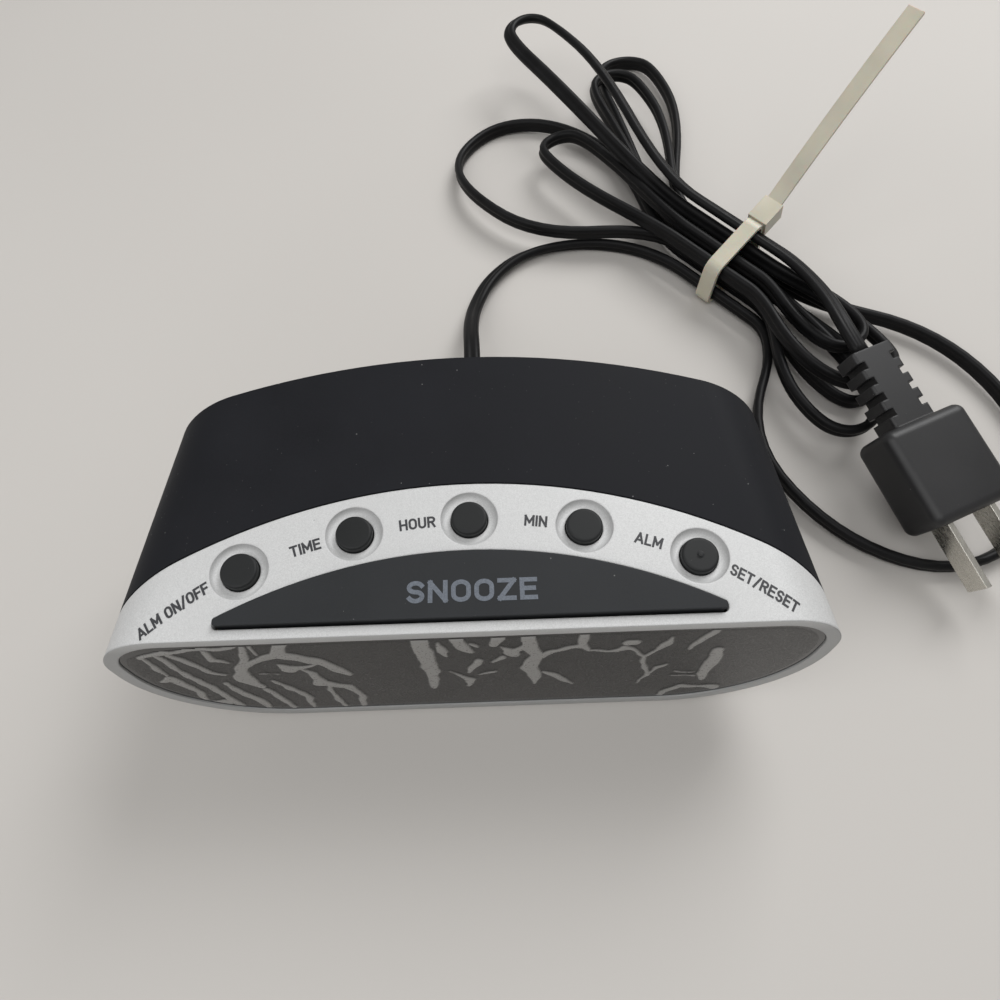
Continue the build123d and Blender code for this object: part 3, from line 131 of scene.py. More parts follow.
def waist_point(index, end):
    """Where a pass meets one end of the waist under the tie."""
    column, row = PASSES[index]
    place = TIE_CENTRE + HANK_DIR * (end * WAIST_HALF) + HANK_SIDE * (column * SLOT_PITCH)
    return place + UP * (WAIST_Z + row * ROW_PITCH)


def loop_nodes(index):
    """The places and directions of one loop: pass, shoulder, far end, shoulder and the next pass."""
    reach, turn, half_width, rise, share = LOOPS[index]
    end = 1 if index % 2 == 0 else -1
    start = waist_point(index, end)
    finish = waist_point(index + 1, end)
    out = turned(HANK_DIR * end, turn)
    across = turned(out, 90)
    side = 1 if (start - finish).dot(across) > 0 else -1
    middle = (start + finish) / 2
    root = Vector((middle.x, middle.y, 0))
    far_z = FLOOR_Z + rise
    shoulder = root + out * (reach - SHOULDER_ROUND * half_width)
    levels = [share * place.z + (1 - share) * far_z for place in (start, finish)]
    return [
        (start, HANK_DIR * end),
        (shoulder + across * (side * half_width) + UP * levels[0], out),
        (root + out * reach + UP * far_z, across * -side),
        (shoulder - across * (side * half_width) + UP * levels[1], -out),
        (finish, HANK_DIR * -end),
    ]


def corner_points(start, start_dir, finish, finish_dir):
    """The two corners of a route that leaves one place and reaches another in given directions."""
    chord = finish - start
    turn = 1 - start_dir.dot(finish_dir)
    reach = chord.dot(start_dir + finish_dir)
    handle = chord.length_squared / (math.sqrt(reach**2 + 2 * turn * chord.length_squared) + reach)
    return [start + start_dir * handle, finish - finish_dir * handle]


route = [BUSHING_END, *[Vector(place) for place in LEAD_ROUTE], waist_point(0, -1) - HANK_DIR * SQUARE_RUN]
route += [waist_point(0, -1), waist_point(0, 1)]
for index in range(len(LOOPS)):
    end = 1 if index % 2 == 0 else -1
    nodes = loop_nodes(index)
    for (start, start_dir), (finish, finish_dir) in zip(nodes, nodes[1:]):
        route += corner_points(start, start_dir, finish, finish_dir)
    route += [waist_point(index + 1, end), waist_point(index + 1, -end)]
route.append(waist_point(len(LOOPS), 1) + HANK_DIR * SQUARE_RUN)
route += [Vector(place) for place in TAIL_ROUTE]
route += [PLUG_PLACE - PLUG_AXIS * SQUARE_RUN, PLUG_PLACE]


def smooth_line(points, resolution):
    """Points along the smooth spline that has the given points as its control points."""
    curve = bpy.data.curves.new("route", "CURVE")
    curve.dimensions = "3D"
    spline = curve.splines.new("NURBS")
    spline.points.add(len(points) - 1)
    for target, point in zip(spline.points, points):
        target.co = (*(point * MM), 1)
    spline.order_u = 3
    spline.use_endpoint_u = True
    spline.resolution_u = resolution
    holder = bpy.data.objects.new("route", curve)
    SCENE.collection.objects.link(holder)
    bpy.context.view_layer.update()
    mesh = bpy.data.meshes.new_from_object(holder.evaluated_get(bpy.context.evaluated_depsgraph_get()))
    line = [vertex.co.copy() for vertex in mesh.vertices]
    bpy.data.objects.remove(holder)
    bpy.data.curves.remove(curve)
    bpy.data.meshes.remove(mesh)
    return line


# Flat two-core section: two round cores side by side with a groove between them
CORD_WIDE = 4.6
CORD_THICK = 2.6
CORD_LOBE_STEPS = 9
CORD_LOBE_SPAN = 112
CORD_GROOVE = 0.92
CORD_RESOLUTION = 7
# Tilt of the section along the cord, as share of its length and degrees from standing on edge
CORD_TILTS = (
    (0, 88), (0.02, 70), (0.045, 12), (0.3, 0), (0.55, 8), (0.8, 4), (0.86, 12), (0.9, 52), (0.95, 48),
    (0.985, 70), (1, 90),
)


def cord_section():
    """The section's outline as places across its width and its thickness."""
    lobe_r = CORD_THICK / 2
    core = CORD_WIDE / 2 - lobe_r
    outline = []
    for side in (1, -1):
        for step in range(CORD_LOBE_STEPS):
            angle = math.radians(CORD_LOBE_SPAN * (2 * step / (CORD_LOBE_STEPS - 1) - 1))
            outline.append((side * (core + lobe_r * math.cos(angle)), side * lobe_r * math.sin(angle)))
        outline.append((0, side * CORD_GROOVE))
    return outline


def flat_cord(name, line):
    """A flat cord along a line, with its section tilted as the list of tilts says."""
    points = np.array([tuple(point) for point in line]) / MM
    steps = np.linalg.norm(np.diff(points, axis=0), axis=1)
    share = np.concatenate([[0], np.cumsum(steps)]) / steps.sum()
    tilt = np.radians(np.interp(share, *zip(*CORD_TILTS)))
    along = np.gradient(points, axis=0)
    along /= np.linalg.norm(along, axis=1)[:, None]
    upright = np.array((0, 0, 1)) - along * along[:, 2:3]
    upright /= np.linalg.norm(upright, axis=1)[:, None]
    sideways = np.cross(along, upright)
    wide = upright * np.cos(tilt)[:, None] + sideways * np.sin(tilt)[:, None]
    thin = np.cross(along, wide)
    section = cord_section()
    verts = [tuple(p + w * a + t * b) for p, w, t in zip(points, wide, thin) for a, b in section]
    count = len(section)
    faces = []
    for here in range(0, (len(points) - 1) * count, count):
        there = here + count
        for k in range(count):
            after = (k + 1) % count
            faces.append((here + k, here + after, there + after, there + k))
    faces.append(tuple(reversed(range(count))))
    faces.append(tuple((len(points) - 1) * count + k for k in range(count)))
    return mesh_from(name, verts, faces)


cord_line = smooth_line(route, CORD_RESOLUTION)
cord = flat_cord("mains_cord", cord_line)
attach(cord, "case")
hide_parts("cord_lead", "cord_hank", "cord_tail")

# Face of the clock: a plane that leans back, with places given across it and up it from its top edge
FACE_LEAN = math.radians(7)
FACE_TOP = Vector((0, -27.79, 48))
FACE_UP = Vector((0, math.sin(FACE_LEAN), math.cos(FACE_LEAN)))
FACE_OUT = Vector((0, -math.cos(FACE_LEAN), math.sin(FACE_LEAN)))
LENS_SINK = 0.3
LENS_TOP = -2.55
LENS_FOOT = -44.3
LENS_HALF = 68.95
LENS_TOP_R = 10.95
LENS_FOOT_R = 27.45


def inside_rounded(u, v, inset):
    """How far places lie inside the lens's outline, drawn in by an inset."""
    half = LENS_HALF - inset
    top = LENS_TOP - inset
    foot = LENS_FOOT + inset
    across = np.abs(u)
    depth = np.minimum(half - across, np.minimum(top - v, v - foot))
    corners = (
        (LENS_TOP_R - inset, top - LENS_TOP_R + inset, 1),
        (LENS_FOOT_R - inset, foot + LENS_FOOT_R - inset, -1),
    )
    for radius, level, sign in corners:
        corner = (across > half - radius) & (sign * (v - level) > 0)
        reach = radius - np.hypot(across - half + radius, v - level)
        depth = np.where(corner, reach, depth)
    return depth


# Cling film on the lens. Each fold of trapped air is a path on the face, as places across and up it and
# half widths.
FILM_STEP = 0.3
FILM_BORDER = 1.2
FILM_LIFT = 0.05
FILM_AIR = 0.3
FILM_FLANK = 0.35
FILM_FADE = 0.7
FILM_EDGE_SHARE = 0.15
# Ripples of the film: how far they go, their pitch, and the seed of their draws
FOLD_ACROSS = (0.2, 5, 3)
FOLD_UP = (0.5, 8, 4)
FOLD_FLANK = (0.15, 4, 5)
FILM_WAVES = (0.012, 11, 6)
RIPPLE_COUNT = 6
RIPPLE_SPREAD = (0.7, 1.4)
RIPPLE_TURN = 6.28
RIPPLE_SHARE = 4
FILM_FOLDS = (
    ((-63.5, -7.5, 0.8), (-58, -5.5, 0.8), (-53, -4.5, 0.8), (-44.5, -4, 0.8)),
    ((-63, -8, 0.6), (-63, -13, 0.8), (-62.5, -18, 0.6)),
    ((-60, -7.5, 0.8), (-58.5, -19, 1), (-56.5, -25.5, 1.1), (-55, -36, 1.1), (-54, -41, 0.8)),
    ((-57.5, -6.5, 0.9), (-55.5, -11, 1), (-53.5, -16.5, 1.1), (-51, -18.5, 0.6)),
    ((-50.5, -5.5, 0.8), (-50.5, -10, 1), (-48, -12, 0.5)),
    ((-65.5, -21.5, 0.4), (-62.5, -20, 1.5), (-61.5, -24, 1.2), (-60, -29, 1), (-61, -36, 0.8)),
    ((-60.5, -36.5, 0.9), (-57, -36.5, 1.6)),
    ((-52.5, -24, 0.8), (-51.5, -30, 1.2), (-49, -36.5, 1.2), (-48.5, -42.5, 0.8)),
    ((-43, -4.5, 0.8), (-44, -9, 1), (-47, -16.5, 1.4), (-48, -22, 2.2), (-46, -26.5, 1.2)),
    ((-41.5, -3.5, 0.4), (-41.5, -8.5, 0.4)),
    ((-35.5, -3, 1.4), (-37.5, -8.5, 1.6), (-41.5, -10.5, 1), (-45, -13.5, 1.2)),
    ((-37, -8.5, 2), (-34, -10.5, 1.7), (-30.5, -13, 1.4), (-28, -17.5, 1.5), (-26, -21, 0.8)),
    ((-39, -13.5, 0.5), (-37.5, -17, 1.8), (-35, -16, 0.8), (-30.5, -13.5, 0.5)),
    (
        (-35, -16.5, 0.6), (-33.5, -19.5, 1), (-33, -26, 1.8), (-28, -28.5, 1.4), (-26, -35, 1),
        (-27, -43, 0.8),
    ),
    ((-32, -28, 0.6), (-32, -36.5, 0.8), (-31, -43, 0.6)),
    ((-45.5, -28.5, 1), (-44.5, -33.5, 1), (-43, -42, 0.8)),
    ((-42.5, -23.5, 0.6), (-40.5, -28.5, 1.1), (-38, -34, 1), (-38.5, -42.5, 0.6)),
    ((-44, -19, 0.3), (-40.5, -19, 0.4)),
    ((-10, -3, 1.8), (-9.5, -11.5, 2), (-9, -21, 1.7), (-9.5, -31.5, 0.8)),
    ((-6.5, -5.5, 0.4), (-6, -10, 1.2), (-5.5, -12.5, 0.4)),
    ((-3, -3.5, 1.6), (-2, -7.5, 1.6), (-0.5, -11, 0.8)),
    ((-0.5, -6, 0.4), (1, -8, 0.4)),
    ((1, -15.5, 1), (-0.5, -19.5, 1), (-1.5, -22, 0.5)),
    ((-5.5, -21.5, 0.4), (-3, -24.5, 0.8), (-1.5, -27, 1.4), (-2, -31, 0.6)),
    ((0.5, -24, 0.4), (4, -22.5, 0.5)),
    ((5, -4, 1.4), (4, -7, 1.2)),
    ((5.5, -8.5, 0.4), (7.5, -12, 2), (8.5, -10, 0.8), (10, -8, 1)),
    ((3.5, -16.5, 0.4), (5.5, -14.5, 0.9)),
    (
        (10.5, -3.5, 1.4), (11, -9, 1.8), (12.5, -13.5, 1.4), (11, -20, 2), (12.5, -26.5, 1.4),
        (12.5, -31, 0.4),
    ),
    ((13.5, -14, 1), (15.5, -11.5, 0.8), (19.5, -9.5, 0.8), (21, -9, 1.2)),
    ((21, -3.5, 1), (21, -8, 1.2), (22.5, -12, 0.6), (26.5, -12.5, 0.6), (30, -11.5, 1)),
    ((14, -23.5, 0.6), (17, -26.5, 1.1), (20.5, -32, 0.5)),
    (
        (28, -12.5, 0.6), (29.5, -10.5, 0.8), (32.5, -13.5, 0.5), (34, -16.5, 0.6), (35, -22, 0.8),
        (36.5, -27.5, 0.6),
    ),
    ((36.5, -27.5, 0.6), (35, -33, 0.4)),
    ((34, -16.5, 0.6), (36, -13.5, 0.6), (37.5, -9.5, 1.1), (38, -6.5, 0.4)),
    ((36.5, -26.5, 0.4), (38, -23.5, 0.7), (39.5, -21.5, 0.5)),
    ((30, -8.5, 1.3), (31, -8.5, 1.3)),
    ((42.5, -13, 0.6), (44, -7.5, 0.8), (45.5, -4.5, 0.9), (46.5, -3, 0.6)),
    ((48.5, -14, 1.4), (49, -19.5, 1.6), (48.5, -28, 1.4), (49.5, -32, 0.6)),
    ((42, -26.5, 0.4), (46.5, -27, 0.4)),
    ((42, -29, 0.4), (47, -29.5, 0.4)),
    ((41.5, -43, 0.8), (42.5, -40, 1.2), (45.5, -36.5, 1), (50, -37.5, 0.7), (53, -37.5, 1.6)),
)
# Where the film stops short of the lens's upper left edge
FILM_CUT = (
    (-69, -11.5), (-66.5, -8.5), (-63.5, -6.5), (-60, -5), (-52.5, -4), (-41, -3.2), (-36, -2.4),
    (69, -2.4),
)


def fold_flank(u, v, path):
    """How far places lie inside a fold that widens and narrows along its path."""
    deepest = np.full(u.shape, -1e9)
    for (u0, v0, half0), (u1, v1, half1) in zip(path, path[1:]):
        run_u, run_v = u1 - u0, v1 - v0
        along = np.clip(((u - u0) * run_u + (v - v0) * run_v) / (run_u**2 + run_v**2), 0, 1)
        away = np.hypot(u - u0 - along * run_u, v - v0 - along * run_v)
        deepest = np.maximum(deepest, half0 + along * (half1 - half0) - away)
    return deepest


def ripple(u, v, amount, pitch, seed):
    """A smooth wavy field about zero, from a few crossed waves."""
    rng = np.random.default_rng(seed)
    field = np.zeros(u.shape)
    for turn in rng.uniform(0, 2 * math.pi, RIPPLE_COUNT):
        run = u * math.cos(turn) + v * math.sin(turn)
        phase = run * 2 * math.pi / pitch * rng.uniform(*RIPPLE_SPREAD)
        field += np.sin(phase + rng.uniform(0, RIPPLE_TURN))
    return amount * (field / RIPPLE_SHARE)


def smooth_step(x):
    """A soft step from 0 to 1."""
    x = np.clip(x, 0, 1)
    return x * x * (3 - 2 * x)


def cling_film():
    """The film as a fine sheet over the lens, lifted where air is trapped under it."""
    across = np.arange(-LENS_HALF, LENS_HALF + FILM_STEP, FILM_STEP)
    level = np.arange(LENS_FOOT, LENS_TOP + FILM_STEP, FILM_STEP)
    u, v = np.meshgrid(across, level, indexing="ij")
    edge = np.minimum(inside_rounded(u, v, FILM_BORDER), np.interp(u, *zip(*FILM_CUT)) - v)
    air = np.zeros(u.shape)
    wobble_u = u + ripple(u, v, *FOLD_ACROSS)
    wobble_v = v + ripple(u, v, *FOLD_UP)
    for path in FILM_FOLDS:
        flank = fold_flank(wobble_u, wobble_v, path) + ripple(u, v, *FOLD_FLANK)
        air = np.maximum(air, FILM_AIR * smooth_step(flank / FILM_FLANK))
    lift = FILM_LIFT + air + ripple(u, v, *FILM_WAVES)
    lift *= smooth_step(edge / FILM_FADE) * (1 - FILM_EDGE_SHARE) + FILM_EDGE_SHARE
    keep = edge > -0.5 * FILM_STEP
    number = -np.ones(u.shape, int)
    number[keep] = np.arange(keep.sum())
    places = [
        FACE_TOP + Vector((a, 0, 0)) + FACE_UP * b + FACE_OUT * (c - LENS_SINK)
        for a, b, c in zip(u[keep], v[keep], lift[keep])
    ]
    faces = []
    for i in range(u.shape[0] - 1):
        for j in range(u.shape[1] - 1):
            quad = (number[i, j], number[i + 1, j], number[i + 1, j + 1], number[i, j + 1])
            if min(quad) >= 0:
                faces.append(tuple(int(k) for k in quad))
    film = mesh_from("cling_film", places, faces)
    layer = film.data.color_attributes.new("air", "FLOAT_COLOR", "POINT")
    tone = air[keep] / FILM_AIR
    colours = np.stack([tone, tone, tone, np.ones_like(tone)], 1).astype(np.float32)
    layer.data.foreach_set("color", colours.ravel())
    return film


film = cling_film()
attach(film, "case")
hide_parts("lens_film")

# Words on the panel, bent along the keys' arc, and on the snooze bar, drawn with strokes of one width
PANEL_Z = 48
SNOOZE_Z = 49.3
ARC_CENTRE_Y = -112.8
LABEL_R = 106.2
LABEL_HIGH = 2.35
LABEL_STROKE = 0.43
# Each label's words, angle from straight back, width, and how far its outer end falls away from the arc
LABELS = (
    ("label_alarm_switch", "ALM ON/OFF", -31.2, 14.6, 1.6),
    ("label_time", "TIME", -17.1, 5.9, 0),
    ("label_hour", "HOUR", -5.4, 7, 0),
    ("label_minute", "MIN", 6.95, 4.4, 0),
    ("label_alarm", "ALM", 18.7, 5.3, 0),
    ("label_set", "SET/RESET", 30.9, 13.6, 1.4),
)
SNOOZE_PLACE = (0.35, -22.45)
SNOOZE_WIDE = 24.3
SNOOZE_HIGH = 4.3
SNOOZE_STROKE = 0.86
INK_THICK = 0.02
INK_GAP = 0.015
INK_STEP = 0.002
INK_PARTS = 4
LETTER_GAP = 0.32
WORD_GAP = 0.8


def bow(x, y, radius_x, radius_y, start, end, steps=14):
    """Places along a round stretch of a letter, between two angles in degrees."""
    angles = [math.radians(start + (end - start) * step / steps) for step in range(steps + 1)]
    return [(x + radius_x * math.cos(angle), y + radius_y * math.sin(angle)) for angle in angles]


# Each letter's strokes, one unit high
LETTERS = {
    "A": [[(0, 0), (0.36, 1)], [(0.72, 0), (0.36, 1)], [(0.13, 0.28), (0.59, 0.28)]],
    "E": [[(0, 0), (0, 1)], [(0, 1), (0.52, 1)], [(0, 0.52), (0.46, 0.52)], [(0, 0), (0.52, 0)]],
    "F": [[(0, 0), (0, 1)], [(0, 1), (0.52, 1)], [(0, 0.5), (0.45, 0.5)]],
    "H": [[(0, 0), (0, 1)], [(0.6, 0), (0.6, 1)], [(0, 0.5), (0.6, 0.5)]],
    "I": [[(0, 0), (0, 1)]],
    "L": [[(0, 1), (0, 0)], [(0, 0), (0.5, 0)]],
    "M": [[(0, 0), (0, 1)], [(0, 1), (0.38, 0.28)], [(0.38, 0.28), (0.76, 1)], [(0.76, 1), (0.76, 0)]],
    "N": [[(0, 0), (0, 1)], [(0, 1), (0.6, 0)], [(0.6, 0), (0.6, 1)]],
    "O": [[
        (0.6, 0.5), *bow(0.3, 0.68, 0.3, 0.32, 0, 180), *bow(0.3, 0.32, 0.3, 0.32, 180, 360), (0.6, 0.5),
    ]],
    "R": [
        [(0, 0), (0, 1)], [(0, 1), *bow(0.32, 0.75, 0.25, 0.25, 90, -90), (0, 0.5)],
        [(0.3, 0.5), (0.58, 0)],
    ],
    "S": [bow(0.29, 0.75, 0.26, 0.25, 25, 270) + bow(0.29, 0.25, 0.26, 0.25, 90, -155)[1:]],
    "T": [[(0, 1), (0.58, 1)], [(0.29, 1), (0.29, 0)]],
    "U": [[(0, 1), *bow(0.29, 0.3, 0.29, 0.3, 180, 360), (0.58, 1)]],
    "Z": [[(0, 1), (0.56, 1)], [(0.56, 1), (0, 0)], [(0, 0), (0.56, 0)]],
    "/": [[(0, -0.06), (0.4, 1.06)]],
}


def word(text, wide, high, stroke):
    """A word as thin ribbons along its strokes: points and faces, with its middle and foot at zero."""
    runs = []
    pen = 0
    for letter in text:
        if letter == " ":
            pen += WORD_GAP - LETTER_GAP
            continue
        reach = max(x for run in LETTERS[letter] for x, y in run)
        runs += [[(pen + x, y) for x, y in run] for run in LETTERS[letter]]
        pen += reach + LETTER_GAP
    whole = pen - LETTER_GAP
    points, faces = [], []
    for number, run in enumerate(runs):
        line = np.array([
            ((x / whole - 0.5) * (wide - stroke), stroke / 2 + y * (high - stroke)) for x, y in run
        ])
        stops = np.arange(len(line))
        fine = np.linspace(0, len(line) - 1, INK_PARTS * (len(line) - 1) + 1)
        line = np.stack([np.interp(fine, stops, line[:, axis]) for axis in (0, 1)], 1)
        along = np.gradient(line, axis=0)
        along /= np.linalg.norm(along, axis=1)[:, None]
        if run[0] != run[-1]:
            line[0] -= along[0] * stroke / 2
            line[-1] += along[-1] * stroke / 2
        side = np.stack([-along[:, 1], along[:, 0]], 1) * stroke / 2
        first = len(points)
        top = INK_THICK + number * INK_STEP
        for place, out in zip(line, side):
            left, right = place + out, place - out
            points += [(*left, 0), (*left, top), (*right, top), (*right, 0)]
        for k in range(len(line) - 1):
            a = first + 4 * k
            faces += [(a + j, a + j + 4, a + j + 5, a + j + 1) for j in range(3)]
        last = first + 4 * (len(line) - 1)
        faces += [(first, first + 1, first + 2, first + 3), (last + 3, last + 2, last + 1, last)]
    return np.array(points), faces


def panel_level(x, y):
    """The height of the panel at a place, with its rounded sides."""
    above = Vector((x, y, 2 * PANEL_Z)) * MM
    hit, place = NODES["front_bezel"].ray_cast(above, -UP)[:2]
    return place.z / MM if hit else PANEL_Z


words = []
for name, text, angle, wide, fall in LABELS:
    points, faces = word(text, wide, LABEL_HIGH, LABEL_STROKE)
    turn = np.radians(angle) + points[:, 0] / LABEL_R
    radius = LABEL_R + points[:, 1] - fall * (0.5 + math.copysign(1, angle) * points[:, 0] / wide)
    across, back = radius * np.sin(turn), ARC_CENTRE_Y + radius * np.cos(turn)
    level = np.array([panel_level(x, y) for x, y in zip(across, back)])
    places = np.stack([across, back, level + INK_GAP + points[:, 2]], 1)
    label = mesh_from(name, places.tolist(), faces, smooth=False)
    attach(label, "case")
    words.append(label)
points, faces = word("SNOOZE", SNOOZE_WIDE, SNOOZE_HIGH, SNOOZE_STROKE)
places = points + np.array((*SNOOZE_PLACE, SNOOZE_Z + INK_GAP))
snooze_word = mesh_from("label_snooze", places.tolist(), faces, smooth=False)
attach(snooze_word, "snooze")


# Materials. Scales are per metre, and a noise is spread between its usual low and high.
NOISE_LOW = 0.3
NOISE_HIGH = 0.7
BEVEL_SAMPLES = 6
EDGE_FLAT = 0.98
EDGE_TURNED = 0.75
SUBSURFACE_DEPTH = 1
DUST_COLOUR = (0.42, 0.42, 0.41)
DARK_SPECK = (0.16, 0.16, 0.16)
PALE_SPECK = (0.3, 0.3, 0.29)


class Shader:
    """A material with one principled shader, and short names for the nodes that feed it."""

    def __init__(
        self, name, roughness=0.5, metallic=0.0, specular=0.5, coat=0.0, coat_roughness=0.1, alpha=1.0,
        subsurface=0.0,
    ):
        self.material = bpy.data.materials.new(name)
        self.material.use_nodes = True
        self.tree = self.material.node_tree
        self.main = self.tree.nodes["Principled BSDF"]
        self.main.inputs["Roughness"].default_value = roughness
        self.main.inputs["Metallic"].default_value = metallic
        self.main.inputs["Specular IOR Level"].default_value = specular
        self.main.inputs["Coat Weight"].default_value = coat
        self.main.inputs["Coat Roughness"].default_value = coat_roughness
        self.main.inputs["Alpha"].default_value = alpha
        self.main.inputs["Subsurface Weight"].default_value = subsurface
        self.main.inputs["Subsurface Scale"].default_value = SUBSURFACE_DEPTH * MM
        self.place = self.tree.nodes.new("ShaderNodeTexCoord").outputs["Object"]

    def node(self, kind, **values):
        """A new node with some of its values set."""
        made = self.tree.nodes.new(kind)
        for key, value in values.items():
            setattr(made, key, value)
        return made

    def link(self, source, target):
        """Join two sockets."""
        self.tree.links.new(source, target)

    def set(self, socket, value):
        """Feed a socket from another node, or set its number."""
        if isinstance(value, bpy.types.NodeSocket):
            self.link(value, socket)
        else:
            socket.default_value = value

    def stretched(self, scale):
        """The object's own coordinates, stretched."""
        mapping = self.node("ShaderNodeMapping")
        self.link(self.place, mapping.inputs["Vector"])
        mapping.inputs["Scale"].default_value = scale
        return mapping.outputs["Vector"]

    def noise(self, per_metre, detail, place=None):
        """A cloudy noise of a given scale."""
        made = self.node("ShaderNodeTexNoise")
        self.link(place or self.place, made.inputs["Vector"])
        made.inputs["Scale"].default_value = per_metre
        made.inputs["Detail"].default_value = detail
        return made.outputs["Fac"]

    def cells(self, per_metre):
        """Small cells: how far from each one's middle, and a colour of its own."""
        made = self.node("ShaderNodeTexVoronoi")
        self.link(self.place, made.inputs["Vector"])
        made.inputs["Scale"].default_value = per_metre
        return made.outputs["Distance"], made.outputs["Color"]

    def ramp(self, fac, *stops):
        """A value moved from one range to another."""
        made = self.node("ShaderNodeMapRange")
        self.link(fac, made.inputs["Value"])
        for socket, value in zip(("From Min", "From Max", "To Min", "To Max"), stops):
            made.inputs[socket].default_value = value
        return made.outputs["Result"]

    def spread(self, noise, low, high):
        """A noise spread between two numbers."""
        return self.ramp(noise, NOISE_LOW, NOISE_HIGH, low, high)

    def mottle(self, noise, first, second):
        """Two colours mixed by a noise."""
        return self.mix(self.spread(noise, 0, 1), first, second)

    def math(self, kind, first, second):
        """One operation on two values."""
        made = self.node("ShaderNodeMath", operation=kind)
        self.set(made.inputs[0], first)
        self.set(made.inputs[1], second)
        return made.outputs["Value"]

    def mix(self, fac, first, second):
        """Two colours mixed by a factor."""
        made = self.node("ShaderNodeMix", data_type="RGBA")
        self.set(made.inputs["Factor"], fac)
        for name, value in (("A", first), ("B", second)):
            socket = [s for s in made.inputs if s.name == name and s.type == "RGBA"][0]
            self.set(socket, value if isinstance(value, bpy.types.NodeSocket) else (*value, 1))
        return [s for s in made.outputs if s.type == "RGBA"][0]

    def specks(self, per_metre, size, share):
        """Sparse round specks: one in some of the cells."""
        distance, colour = self.cells(per_metre)
        split = self.node("ShaderNodeSeparateColor")
        self.link(colour, split.inputs["Color"])
        near = self.math("LESS_THAN", distance, size)
        chosen = self.math("GREATER_THAN", split.outputs["Red"], 1 - share)
        return self.math("MULTIPLY", near, chosen)

    def soft_edges(self, radius):
        """A normal that is softened round the edges."""
        bevel = self.node("ShaderNodeBevel", samples=BEVEL_SAMPLES)
        bevel.inputs["Radius"].default_value = radius
        return bevel.outputs["Normal"]

    def edge_mask(self, soft):
        """A mask of the edges, where the softened normal leaves the surface's own."""
        geometry = self.node("ShaderNodeNewGeometry")
        dot = self.node("ShaderNodeVectorMath", operation="DOT_PRODUCT")
        self.link(soft, dot.inputs[0])
        self.link(geometry.outputs["Normal"], dot.inputs[1])
        return self.ramp(dot.outputs["Value"], EDGE_FLAT, EDGE_TURNED, 0.0, 1.0)

    def bump(self, height, strength, distance, normal=None):
        """A fine relief, on the surface's own normal or on another."""
        made = self.node("ShaderNodeBump")
        self.link(height, made.inputs["Height"])
        made.inputs["Strength"].default_value = strength
        made.inputs["Distance"].default_value = distance
        if normal is not None:
            self.link(normal, made.inputs["Normal"])
        return made.outputs["Normal"]

    def colour(self, value):
        """Feed the base colour."""
        self.link(value, self.main.inputs["Base Color"])

    def roughness(self, value):
        """Feed the roughness."""
        self.link(value, self.main.inputs["Roughness"])

    def normal(self, value):
        """Feed the normal."""
        self.link(value, self.main.inputs["Normal"])


def shade(colour, factor):
    """A colour made lighter or darker."""
    return tuple(min(1.0, channel * factor) for channel in colour)


def moulded(name, colour, roughness, grain=5200, edge=0.3, wear_and_highlight=1.35, dust=0.0, specular=0.45):
    """Moulded plastic: mottled colour, fine grain, softened edges lightened in colour as wear and painted
    highlight, and dust.
    """
    s = Shader(name, roughness, specular=specular)
    broad = s.noise(45, 4)
    fine = s.noise(grain, 2)
    soft = s.soft_edges(edge * MM)
    tone = s.mottle(broad, shade(colour, 0.86), shade(colour, 1.14))
    tone = s.mix(s.ramp(fine, 0.35, 0.75, 0, 0.35), tone, shade(colour, 1.5))
    # Edges lightened in colour: partly wear, partly a painted highlight along the rims
    tone = s.mix(s.math("MULTIPLY", s.edge_mask(soft), 0.5), tone, shade(colour, wear_and_highlight))
    if dust:
        small = s.specks(520, 0.07, dust)
        tiny = s.specks(1100, 0.09, dust)
        tone = s.mix(s.math("MULTIPLY", small, 0.3), tone, DUST_COLOUR)
        tone = s.mix(s.math("MULTIPLY", tiny, 0.12), tone, DUST_COLOUR)
    s.colour(tone)
    uneven = s.math("ADD", s.math("MULTIPLY", broad, 0.6), s.math("MULTIPLY", fine, 0.4))
    s.roughness(s.spread(uneven, roughness - 0.06, roughness + 0.08))
    s.normal(s.bump(fine, 0.35, 0.03 * MM, soft))
    return s


def metal(name, colour, roughness, brushed=(1, 1, 1)):
    """Plated or drawn metal with fine drawn marks."""
    s = Shader(name, roughness, metallic=1.0)
    marks = s.noise(1800, 3, place=s.stretched(brushed))
    broad = s.noise(90, 3)
    s.colour(s.mottle(broad, shade(colour, 0.85), shade(colour, 1.1)))
    s.roughness(s.spread(marks, roughness - 0.05, roughness + 0.06))
    s.normal(s.bump(marks, 0.12, 0.008 * MM, s.soft_edges(0.2 * MM)))
    return s


def silver_paint():
    """Metallic paint on the bezel: fine flakes, a soft sheen, a few dark specks, and painted shade that
    darkens the front rim.
    """
    colour = (0.57, 0.575, 0.575)
    s = Shader("silver_paint", 0.5, metallic=0.15, specular=0.3, coat=0.05, coat_roughness=0.3)
    flake = s.cells(7000)[1]
    split = s.node("ShaderNodeSeparateColor")
    s.link(flake, split.inputs["Color"])
    broad = s.noise(38, 3)
    tone = s.mix(s.ramp(split.outputs["Green"], 0, 1, 0, 1), shade(colour, 0.9), shade(colour, 1.1))
    tone = s.mix(s.ramp(broad, 0.35, 0.7, 0, 0.35), tone, shade(colour, 0.92))
    tone = s.mix(s.math("MULTIPLY", s.specks(330, 0.04, 0.012), 0.6), tone, DARK_SPECK)
    axes = s.node("ShaderNodeSeparateXYZ")
    s.link(s.place, axes.inputs["Vector"])
    # Painted shade: the colour is darkened along the bezel's front rim, as if less light fell on it
    painted_rim_shade = s.ramp(axes.outputs["Y"], (FACE_TOP.y + 0.2) * MM, (FACE_TOP.y - 0.6) * MM, 0, 1)
    s.colour(s.mix(painted_rim_shade, tone, shade(colour, 0.66)))
    s.roughness(s.ramp(split.outputs["Blue"], 0, 1, 0.46, 0.6))
    s.normal(s.bump(split.outputs["Red"], 0.25, 0.015 * MM, s.soft_edges(0.5 * MM)))
    return s


